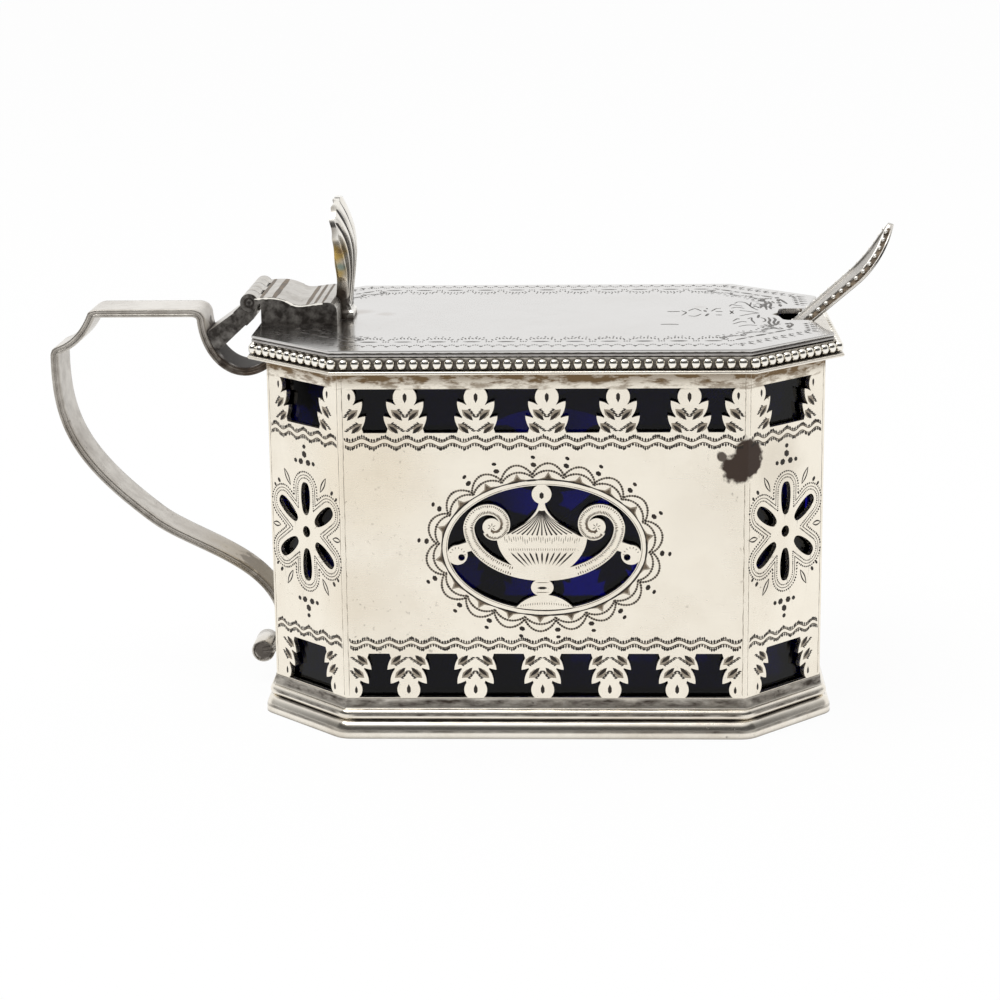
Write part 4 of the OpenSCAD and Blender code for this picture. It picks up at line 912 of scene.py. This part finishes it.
def ovalWalk(rx, rz):  # a walk round an ellipse from the top leftwards, with outward normals
    fine = 1440
    turns = [2 * math.pi * k / fine for k in range(fine + 1)]
    ring = [(-rx * math.sin(a), rz * math.cos(a)) for a in turns]
    run = [0.0]
    for k in range(fine):
        run.append(run[-1] + math.dist(ring[k], ring[k + 1]))
    total = run[-1]

    def point(s):
        s = s % total
        k = int(np.searchsorted(run, s, "right")) - 1
        k = min(k, fine - 1)
        t = (s - run[k]) / (run[k + 1] - run[k])
        x = ring[k][0] + (ring[k + 1][0] - ring[k][0]) * t
        z = ring[k][1] + (ring[k + 1][1] - ring[k][1]) * t
        nx, nz = x / rx ** 2, z / rz ** 2
        size = math.hypot(nx, nz)
        return (x, z), (nx / size, nz / size)
    return total, point


def engraveMedallion(dark, brown, haze):
    cz = urnCuts["height"]
    rx, rz = (v + urnCuts["ring"] for v in urnCuts["opening"])
    total, point = ovalWalk(rx, rz)
    step = total / urnCuts["scallops"]

    def out(s, reach):
        (x, z), (nx, nz) = point(s)
        return x + nx * reach, cz + z + nz * reach

    turns = [total * k / urnCuts["ringSteps"] for k in range(urnCuts["ringSteps"])]
    dark.line([out(s, 0) for s in turns],
              [urnCuts["ringLine"] * (1 + 0.35 * jitter(k // 3)) for k in range(len(turns))], True)
    brown.line([out(s, 0.16 - urnCuts["ring"]) for s in turns],
               [0.07 + 0.03 * jitter(k // 5) for k in range(len(turns))], True)
    for n in range(urnCuts["scallops"]):
        cuspAt = n * step - urnCuts["start"]
        middle = cuspAt + step / 2
        for g, half, high in ((brown, 1.25, 0.72), (haze, 1.6, 1.15)):
            marks = [(-half, 0.05), (0.0, 0.0), (half, 0.05), (0.3 * half, 0.3 * high),
                     (0.05 * jitter(n), high), (-0.3 * half, 0.3 * high)]
            g.blob([out(middle + s, reach) for s, reach in reversed(marks)])
        for reach, base in urnCuts["arches"]:
            shares = [t / urnCuts["archSteps"] for t in range(urnCuts["archSteps"] + 1)]
            path = [out(cuspAt + step * t, base + reach * math.sin(math.pi * t) ** 0.75) for t in shares]
            haze.line(path, urnCuts["archHaze"])
            run = 0.0
            spot = urnCuts["dotPitch"] / 2
            k = 0
            for p, q in zip(path, path[1:]):
                length = math.dist(p, q)
                while spot <= run + length:
                    t = (spot - run) / length
                    dark.dot((p[0] + (q[0] - p[0]) * t, p[1] + (q[1] - p[1]) * t),
                             urnCuts["dot"] * (1 + 0.15 * jitter(k + n)), urnCuts["dotStretch"],
                             math.atan2(q[1] - p[1], q[0] - p[0]) + math.pi / 2)
                    spot += urnCuts["dotPitch"]
                    k += 1
                run += length
        for reach, radius, stretch in urnCuts["drops"]:
            (_, (nx, nz)) = point(cuspAt)
            dark.dot(out(cuspAt + 0.25 * jitter(n), reach), radius, stretch,
                     math.atan2(nz, nx) + math.pi / 2 + 0.5 * jitter(n + 7))

    sx = urnCuts["shift"]
    ballZ, ballR = urnCuts["ball"]
    dark.dot((sx, cz + ballZ), ballR, 1.5, math.pi / 2)
    for k in range(urnCuts["flutes"]):  # the cover's flutes
        share = fromMiddle(k, urnCuts["flutes"])
        path, widths = [], []
        for n in range(9):
            t = 0.12 + 0.86 * n / 8
            half = 0.25 + (urnCuts["coverHalf"] - 0.25) * t ** 1.75
            drop = urnCuts["coverTop"] + (urnCuts["coverFoot"] + 0.35 * share ** 2 - urnCuts["coverTop"]) * t
            path.append((sx + share * half, cz + drop))
            widths.append((0.05 + 0.2 * t * (1 - 0.55 * abs(share))) * (1 + 0.2 * jitter(k)))
        dark.line(path, widths)
    for k in range(urnCuts["gadroons"]):  # gadroons on the lower half of the bowl
        share = fromMiddle(k, urnCuts["gadroons"])
        high = (sx + share * 4.35, cz + urnCuts["bowlMid"] - 0.05)
        low = (sx + share * 2.25, cz + urnCuts["bowlFoot"] + 0.35 + 0.35 * (1 - share ** 2))
        dark.cut(high, low, 0.3 - 0.1 * abs(jitter(k)), 0.3)
    for k in range(urnCuts["bowlTicks"]):  # fine upright ticks on the upper half
        x = fromMiddle(k, urnCuts["bowlTicks"]) * 5.2
        top, mid = cz + urnCuts["bowlTop"] - 0.25 * jitter(k), cz + urnCuts["bowlMid"]
        brown.cut((sx + x, top), (sx + x * 0.97, top - 0.75 + 0.2 * jitter(k * 3)), 0.07)
        if abs(x) < 4.6:
            brown.cut((sx + x, mid + 0.55), (sx + x * 0.98, mid + 0.1), 0.07)
    dark.cut((sx - 0.72, cz - 5.72), (sx + 0.72, cz - 5.72), 0.36)  # knob
    for z in (-4.95, -6.35):
        brown.cut((sx - 1.0, cz + z), (sx + 1.0, cz + z), 0.09)
    for k in range(urnCuts["footTicks"]):  # domed foot
        x = fromMiddle(k, urnCuts["footTicks"]) * 3.3
        brown.cut((x, cz - 8.15 - 0.03 * x * x), (x * 0.98, cz - 7.75 - 0.03 * x * x), 0.08)
    dark.line([out(total / 2 + 4.4 * (k / 12 - 0.5) * 2, -urnCuts["ring"] + 0.1) for k in range(13)],
              [0.04 + 0.14 * math.sin(math.pi * k / 12) for k in range(13)])
    for s in (-1, 1):
        engraveArm(brown, cz, s)


# Arms: rows of ticks inside both edges, an eye in the scroll and a small scroll beside the oval
armCuts = {"end": (10.35, 2.95), "rise": 7.65, "width": 1.5, "scroll": 3.15, "shrink": 0.7, "tickIn": 0.1,
           "ticks": (-0.44, 0.40), "tickWidth": 0.13, "eye": (0.12, 0.62),
           "side": (11.95, -1.0), "sideR": (1.2, 0.85)}


def engraveArm(brown, cz, s):
    ex, ez = armCuts["end"]
    half = armCuts["width"] / 2
    path = [(ex * math.sin(math.radians(a)), ez - (armCuts["rise"] - half) * math.cos(math.radians(a)))
            for a in np.linspace(24, 90, 34)]
    for a in np.linspace(6, 300, 54):
        radius = armCuts["scroll"] - armCuts["shrink"] * a / 90
        path.append(ray((ex - armCuts["scroll"], ez), radius, math.radians(a)))
    for k in range(1, len(path) - 1):
        (x0, z0), (x1, z1) = path[k - 1], path[k + 1]
        length = math.hypot(x1 - x0, z1 - z0)
        nx, nz = -(z1 - z0) / length, (x1 - x0) / length
        x, z = path[k]
        for edge, size in zip((half - armCuts["tickIn"], armCuts["tickIn"] - half), armCuts["ticks"]):
            size *= 1 + 0.25 * jitter(k + edge)
            a = (s * (x + nx * edge), cz + z + nz * edge)
            b = (s * (x + nx * (edge + size)), cz + z + nz * (edge + size))
            brown.cut(*((a, b) if s > 0 else (b, a)), armCuts["tickWidth"])
    eye = (s * (ex - armCuts["scroll"]), cz + ez)
    for k in range(6):
        a = k * math.pi / 3 + 0.4
        brown.cut(*(ray(eye, radius, a) for radius in armCuts["eye"]), 0.1)
    side = (s * armCuts["side"][0], cz + armCuts["side"][1])
    for k in range(7):
        a = math.radians(100 + s * (k - 3) * 26 + (0 if s > 0 else -20))
        brown.cut(*(ray(side, radius, a) for radius in armCuts["sideR"]), 0.09)


# Flower on a canted wall, about its eye; reach is half the wall less a margin
flowerCuts = {"height": 28.05, "spread": 55.0, "start": 2.4, "length": 4.7, "half": 1.05, "reach": 7.5,
              "run": 5.2, "inner": 3.0,
              "rings": [(0.62, 0.105, 0.28), (1.04, 0.065, 0.1), (1.5, 0.135, 0.37)],
              "tips": [(10.0, 0.8, 0.46), (10.0, -0.8, 0.46), (10.0, 1.95, 0.32), (10.0, -1.95, 0.32),
                       (11.1, 0.0, 0.48), (12.2, 0.0, 0.33)],
              "pairs": [(5.85, 6.5, 0.27), (6.75, 5.75, 0.21)],
              "leaves": [((3.3, 6.2), (4.6, 8.4)), ((5.8, 0.0), (7.5, 0.0))]}


def engraveFlower(dark):
    cz = flowerCuts["height"]
    spread = flowerCuts["spread"]
    axes = [turn + k * spread for turn in (0, 180) for k in (-1, 0, 1)]
    for axis in axes:
        a = math.radians(axis)
        ux, uz = math.sin(a), math.cos(a)
        for reach, radius, pitch in flowerCuts["rings"]:
            r = flowerCuts["half"] + reach
            far = flowerCuts["start"] + flowerCuts["length"] - flowerCuts["half"]
            outline = [(-r, v) for v in np.arange(far - flowerCuts["run"], far, 0.06)]
            outline += [(-r * math.cos(t), far + r * math.sin(t)) for t in np.arange(0, math.pi, 0.04)]
            outline += [(r, v) for v in np.arange(far, far - flowerCuts["run"], -0.06)]
            run = 0.0
            n = 0
            for p, q in zip(outline, outline[1:]):
                run += math.dist(p, q)
                if run < pitch:
                    continue
                run = 0.0
                x, z = q[0] * uz + q[1] * ux, q[1] * uz - q[0] * ux
                angle = math.degrees(math.atan2(x, z))
                nearest = min(abs((angle - other + 180) % 360 - 180) for other in axes)
                own = abs((angle - axis + 180) % 360 - 180)
                hidden = math.hypot(x, z) < flowerCuts["inner"] or abs(x) > flowerCuts["reach"]
                if hidden or own > nearest + 0.5:
                    continue
                n += 1
                dark.dot((x, cz + z), radius * (1 + 0.15 * jitter(n + axis)), 1.2, jitter(n))
    for sign in (-1, 1):
        for v, u, radius in flowerCuts["tips"]:
            dark.dot((u, cz + sign * v), radius, 1.15, 0.6 * jitter(v + u))
        for side in (-1, 1):
            for u, v, radius in flowerCuts["pairs"]:
                dark.dot((side * u, cz + sign * v), radius, 1.5, 0.9 * side * sign)
            for (x0, z0), (x1, z1) in flowerCuts["leaves"]:
                if not z1 and sign < 0:
                    continue
                length = math.hypot(x1 - x0, z1 - z0)
                nx, nz = -(z1 - z0) / length, (x1 - x0) / length
                for bow in (-1, 1):  # a leaf drawn with two bowed lines
                    path, widths = [], []
                    for k in range(9):
                        t = k / 8
                        swell = bow * 0.3 * math.sin(math.pi * t)
                        x, z = x0 + (x1 - x0) * t + nx * swell, z0 + (z1 - z0) * t + nz * swell
                        path.append((side * x, cz + sign * z))
                        widths.append(0.07 + 0.14 * math.sin(math.pi * t))
                    dark.line(path if side * sign > 0 else path[::-1], widths)


# Each wall has dark cuts, brown shading and a pale haze; the numbers say how proud they stand
sideNames = ["front_left", "front", "front_right", "right", "back_right", "back", "back_left", "left"]
sideCuts = [("engraving_", inkBlack, 0.014), ("shading_", inkBrown, 0.009), ("haze_", inkHaze, 0.004)]
for i, sideName in enumerate(sideNames):
    gravers = [sideGraver(i, proud) for _, _, proud in sideCuts]
    engraveBands(*gravers, i)
    if i in (1, 5):
        engraveMedallion(*gravers)
    elif i % 2 == 0:
        engraveFlower(gravers[0])
    for graver, (kind, ink, _) in zip(gravers, sideCuts):
        graver.piece(kind + sideName, "pot", ink, "silver_body")
print("walls engraved")

# Lid: two engraved borders and a spray towards the notch, in millimetres on the lid's top
lidCuts = {"top": 55.0, "shift": (-0.4, 0.8), "reach": 1.5, "garland": (2.6, 1.62), "swags": (5.9, 4.65),
           "fringe": 9, "notch": (27.5, 7.2), "hinge": (-26.5, 9.4), "line": 0.26, "bold": 0.42,
           "spray": [
               [(19.6, 3.2), (20.2, 1.6), (19.5, -0.7)], [(20.6, 3.1), (21.6, 5.0), (22.4, 2.9)],
               [(20.5, -1.1), (21.4, -1.5), (22.3, 0.3)], [(23.3, 5.4), (23.4, 4.6)],
               [(23.9, 2.7), (24.7, 4.9), (25.4, 5.2)],
               [(26.6, 3.0), (27.0, 0.5)], [(27.1, 3.0), (26.5, 0.3)], [(28.0, 3.2), (29.4, 2.3), (30.7, 0.9)],
               [(27.8, -1.5), (29.3, 0.1), (30.7, 0.9)],
               [(27.6, 9.4), (28.2, 10.8), (29.1, 10.3), (29.6, 8.2), (30.0, 5.6), (30.7, 3.5)],
               [(26.7, 7.0), (27.2, 8.5), (27.7, 7.8), (28.6, 7.1)], [(29.7, 6.9), (30.1, 10.3)],
               [(29.9, 5.6), (30.5, 6.7)],
               [(30.8, 9.0), (31.3, 9.0), (31.5, 7.3), (31.1, 5.2), (30.6, 6.7)],
               [(31.1, 11.9), (31.9, 12.0), (32.4, 13.9)],
               [(26.6, -5.9), (27.3, -3.8), (27.6, -4.2)], [(26.5, -8.2), (27.8, -6.2), (28.5, -6.6)],
               [(28.8, -4.0), (29.4, -3.0), (29.3, -5.0), (29.5, -6.6), (29.6, -7.9)],
               [(30.7, -3.0), (31.2, -3.9), (31.2, -5.8), (30.8, -6.4)], [(30.6, -10.3), (31.5, -9.1)],
               [(26.9, 5.2), (27.8, 6.0), (28.8, 5.0)], [(27.2, -10.2), (28.6, -9.0), (29.8, -9.6)],
               [(33.2, 11.3), (33.5, 9.6)]],
           "strokes": [
               [(17.5, 2.6), (18.4, 2.5), (19.3, 2.6)], [(22.9, 3.5), (23.1, 2.3)], [(22.9, -1.4), (23.4, 0.6)],
               [(24.5, 2.5), (25.5, 2.3)], [(24.4, -0.5), (25.3, -0.6)], [(30.6, -0.6), (30.3, -3.2)],
               [(32.1, 12.2), (32.2, 9.4), (32.0, 6.8), (32.0, 3.8)],
               [(32.7, 11.1), (32.9, 8.5), (32.6, 6.0), (32.7, 4.2)],
               [(34.5, 13.2), (35.3, 8.9)], [(31.8, -2.9), (31.9, -5.1), (31.6, -7.0), (31.8, -9.1)],
               [(32.5, -3.1), (32.7, -4.7), (32.3, -7.1), (32.5, -9.3)], [(33.1, -5.9), (32.7, -8.5)],
               [(34.6, -7.4), (34.8, -9.1), (34.2, -11.2)], [(16.3, -8.2), (17.5, -8.1), (18.8, -8.3)]]}


def lidSides(inset):
    dx, dy = lidCuts["shift"]
    ring = eightSides(lidCuts["reach"] - inset)
    for i in range(8):
        (x0, y0), (x1, y1) = ring[i], ring[(i + 1) % 8]
        length = math.dist(ring[i], ring[(i + 1) % 8])
        tx, ty = (x1 - x0) / length, (y1 - y0) / length

        def put(along, inward):
            return x0 + dx + tx * along - ty * inward, y0 + dy + ty * along + tx * inward
        yield i, length, put


def lidBare(p):  # where the notch and the hinge are
    notchX, notchHalf = lidCuts["notch"]
    hingeX, hingeHalf = lidCuts["hinge"]
    return (p[0] > notchX and abs(p[1]) < notchHalf) or (p[0] < hingeX and abs(p[1]) < hingeHalf)


def engraveLid():
    g = Graver(Vector((0, 0, lidCuts["top"] * mm)), Vector((1, 0, 0)), Vector((0, 1, 0)))
    inset, pitch = lidCuts["garland"]
    for _, length, put in lidSides(inset):  # a chain of small dotted loops
        steps = round(length / pitch)
        for k in range(steps):
            mid = (k + 0.5) * length / steps
            if lidBare(put(mid, 0)):
                continue
            for n in range(5):
                t = n / 4 - 0.5
                high = 0.9 * (0.25 - t * t) / 0.25
                g.cut(put(mid + t * 1.25, high - 0.3), put(mid + t * 1.25 + 0.05, high + 0.3), 0.2)
            foot = mid + pitch / 2
            g.blob([put(foot - 0.17, -0.1), put(foot, -0.9 + 0.15 * jitter(k)),
                    put(foot + 0.17, -0.1), put(foot, 0.15)])
    inset, pitch = lidCuts["swags"]
    for i, length, put in lidSides(inset):  # swags, each a dash with a fringe arched over it
        steps = max(1, round(length / pitch))
        for k in range(steps):
            mid = (k + 0.5) * length / steps
            if lidBare(put(mid, 0)):
                continue
            g.cut(put(mid - 1.25, 0), put(mid + 1.25, 0), 0.6 + 0.1 * jitter(k + i))
            for n in range(lidCuts["fringe"]):
                t = n / (lidCuts["fringe"] - 1) - 0.5
                foot = 0.9 + 1.1 * (0.25 - t * t) / 0.25
                lean = 0.22 * jitter(n + k)
                x = mid + t * 3.9
                g.cut(put(x - lean, foot), put(x + lean, foot + 1.15 + 0.3 * jitter(3 * n + k)), 0.22)
                if n % 2:
                    g.cut(put(x, foot + 1.5), put(x + 0.15, foot + 2.1), 0.22)
            for n in (-1, 0, 1):
                x = mid + length / steps / 2 + 0.35 * n
                g.cut(put(x, -0.35), put(x, 0.4), 0.2)
    for lines, width in ((lidCuts["spray"], lidCuts["line"]), (lidCuts["strokes"], lidCuts["bold"])):
        for n, marks in enumerate(lines):
            path = [marks[0]]
            for k in range(len(marks) - 1):  # a smooth line through the marks
                p0, p1, p2, p3 = (Vector((*marks[max(0, min(len(marks) - 1, k + j))], 0)) for j in (-1, 0, 1, 2))
                bend, twist = 2 * p0 - 5 * p1 + 4 * p2 - p3, 3 * p1 - p0 - 3 * p2 + p3
                for t in (0.25, 0.5, 0.75, 1.0):
                    p = 0.5 * (2 * p1 + (p2 - p0) * t + bend * t * t + twist * t ** 3)
                    path.append((p.x, p.y))
            last = len(path) - 1
            swells = [math.sin(math.pi * (0.12 + 0.76 * k / last)) for k in range(last + 1)]
            g.line(path, [width * (0.3 + 0.7 * swell) for swell in swells])
    g.piece("engraving_lid", "lid", inkGrey, "silver_lid")


engraveLid()

# Hinge: grooves across the leaf, a painted highlight along the leaf's top edges, and ringed pin ends
hingeCuts = {"pin": (-42.1, 58.4), "half": 8.5, "thick": 0.9, "length": 12.05, "end": (1.4, 0.45),
             "bends": [[(0.05, 0.22), (0.18, 0.39), (0.32, 0.67), (0.46, -0.33)],
                       [(0.46, -0.33), (0.58, -1.44), (0.71, -0.56)]],  # shares of length and thick
             "grooves": [(0.15, 0.6), (0.29, 0.8), (0.69, 0.7), (0.79, 0.5), (0.87, 0.4)],
             "grooveIn": 0.12, "edgeDrop": 0.16, "ringR": 0.66, "ringLine": 0.2, "dotR": 0.24}


def leafTop(share):  # point and slope of the leaf's upper face
    length, t = hingeCuts["length"], hingeCuts["thick"]
    first, second = ([(x * length, z * t) for x, z in bend] for bend in hingeCuts["bends"])
    back, drop = hingeCuts["end"]
    path = bezier(first, 40) + bezier(second + [(length - back, -drop)], 40, 1)
    k = min(range(len(path) - 1), key=lambda n: abs(path[n][0] - share * length))
    tangent = Vector((path[k + 1][0] - path[k][0], 0, path[k + 1][1] - path[k][1])).normalized()
    normal = Vector((-tangent.z, 0, tangent.x))
    px, pz = hingeCuts["pin"]
    return Vector((px + path[k][0], 0, pz + path[k][1])) + normal * t / 2, tangent


def engraveHinge():
    half = hingeCuts["half"]
    for n, (share, width) in enumerate(hingeCuts["grooves"]):
        place, tangent = leafTop(share)
        g = Graver(place * mm, Vector((0, -1, 0)), tangent)
        end = half - hingeCuts["grooveIn"]
        g.line([(-end, 0), (-0.5 * half, 0), (0, 0), (0.5 * half, 0), (end, 0)],
               [0.7 * width, width, 0.85 * width, width, 0.7 * width])
        g.piece("leaf_groove_" + str(n + 1), "lid", inkBrown, "silver_lid")
    px, pz = hingeCuts["pin"]
    for name, side in (("near", -1), ("far", 1)):
        # a bright silver line along the leaf's wavy top edge: painted highlight
        g = Graver(Vector((0, side * half, 0)) * mm, Vector((-side, 0, 0)), Vector((0, 0, 1)), 0.03)
        wave = [leafTop(0.07 + 0.8 * k / 40)[0] for k in range(41)]
        path = [(-side * p.x, p.z - hingeCuts["edgeDrop"]) for p in wave]
        g.line(path if side < 0 else path[::-1], [0.22 + 0.09 * jitter(k // 2) for k in range(len(path))])
        g.piece("leaf_edge_highlight_" + name, "lid", silver["beadSilver"], "silver_lid")
        g = Graver(Vector((px, side * half, pz)) * mm, Vector((-side, 0, 0)), Vector((0, 0, 1)))
        ring = [ray((0, 0), hingeCuts["ringR"], math.pi * k / 16) for k in range(32)]
        g.line(ring, hingeCuts["ringLine"], True)
        g.dot((0, 0), hingeCuts["dotR"])
        g.piece("pin_ring_" + name, "lid", inkBlack, "silver_lid")


engraveHinge()
print("lid and hinge engraved")

# Studio: white floor and sky, with a dark side behind the camera for the metal to reflect
studio = {"floorHalf": 9.0, "floorCells": 8, "floorDrop": 0.03 * mm, "floorColour": (0.94, 0.94, 0.94, 1),
          "floorWhite": 0.94, "darkDepth": 0.92, "darkSide": (-0.42, 0.08), "darkLow": (-0.04, 0.06),
          "darkHigh": (0.55, 0.84), "skyLevel": 1.0, "lampPower": 4.6, "lampSize": 0.7,
          "lampPlace": (-0.35, -0.25, 0.95), "lampAim": (0, 0, 0.03)}


def makeStage():
    h, count = studio["floorHalf"], studio["floorCells"]
    points = [(h * (2 * i / count - 1), h * (2 * j / count - 1), -studio["floorDrop"])
              for j in range(count + 1) for i in range(count + 1)]
    starts = [j * (count + 1) + i for j in range(count) for i in range(count)]
    faces = [(a, a + 1, a + count + 2, a + count + 1) for a in starts]
    mesh = bpy.data.meshes.new("floor")
    mesh.from_pydata(points, [], faces)
    floor = bpy.data.objects.new("floor", mesh)
    bpy.context.collection.objects.link(floor)
    made, bench = newMaterial("floorWhite")
    paper = bench.node("ShaderNodeBsdfDiffuse", {}, {"Color": studio["floorColour"]})
    glow = bench.node("ShaderNodeEmission", {}, {"Color": (1, 1, 1, 1), "Strength": 1.0})
    seen = seenRay(bench) * studio["floorWhite"]
    output(bench, bench.node("ShaderNodeMixShader", {}, {0: seen, 1: paper, 2: glow}))
    mesh.materials.append(made)


def seenRay(bench):  # 1 for what the eye, the metal and the glass see
    camera = bench.node("ShaderNodeLightPath", out="Is Camera Ray")
    glossy = bench.node("ShaderNodeLightPath", out="Is Glossy Ray")
    through = bench.node("ShaderNodeLightPath", out="Is Transmission Ray")
    return camera.most(glossy).most(through)


def makeSky():
    world = bpy.data.worlds.new("studioSky")
    bpy.context.scene.world = world
    world.use_nodes = True
    world.node_tree.nodes.clear()
    bench = Wire(world.node_tree)
    way = bench.node("ShaderNodeTexCoord", out="Generated")
    height = way.along((0, 0, 1))
    dark = height.ease(*studio["darkLow"]) * (1 - height.ease(*studio["darkHigh"]))
    front = way.along((0, -1, 0)).ease(*studio["darkSide"]) * dark
    level = 1 - front * studio["darkDepth"]
    camera = bench.node("ShaderNodeLightPath", out="Is Camera Ray")
    level = level * (1 - camera) * studio["skyLevel"] + camera
    sky = bench.node("ShaderNodeBackground", {}, {"Color": (1, 1, 1, 1), "Strength": level})
    end = bench.tree.nodes.new("ShaderNodeOutputWorld")
    bench.tree.links.new(sky.socket, end.inputs["Surface"])


def makeLamp():
    lamp = bpy.data.lights.new("softbox", "AREA")
    lamp.shape = "SQUARE"
    lamp.size = studio["lampSize"]
    lamp.energy = studio["lampPower"]
    made = bpy.data.objects.new("softbox", lamp)
    made.location = studio["lampPlace"]
    made.rotation_euler = (Vector(studio["lampAim"]) - made.location).to_track_quat("-Z", "Y").to_euler()
    bpy.context.collection.objects.link(made)


makeStage()
makeSky()
makeLamp()

# Camera at the photograph's place: a long lens, a little above the lid
cameraLook = {"place": (8.1655, -363.8645, 117.2847), "pitch": 13.8633, "yaw": -2.4042, "roll": 0.67158,
              "lens": 91.468, "sensor": 36, "near": 0.01}


def makeCamera():
    p, y, r = (math.radians(cameraLook[k]) for k in ("pitch", "yaw", "roll"))
    ahead = Vector((math.sin(y) * math.cos(p), math.cos(y) * math.cos(p), -math.sin(p)))
    right = Vector((math.cos(y), -math.sin(y), 0))
    down = Vector((-math.sin(y) * math.sin(p), -math.cos(y) * math.sin(p), -math.cos(p)))
    across = math.cos(r) * right + math.sin(r) * down
    below = -math.sin(r) * right + math.cos(r) * down
    data = bpy.data.cameras.new("camera")
    data.lens = cameraLook["lens"]
    data.sensor_width = cameraLook["sensor"]
    data.clip_start = cameraLook["near"]
    made = bpy.data.objects.new("camera", data)
    turn = Matrix((across, -below, -ahead)).transposed().to_4x4()
    made.matrix_world = Matrix.Translation(Vector(cameraLook["place"]) * mm) @ turn
    bpy.context.collection.objects.link(made)
    bpy.context.scene.camera = made


makeCamera()
bpy.context.scene.view_settings.view_transform = "Standard"
print("studio and camera set")
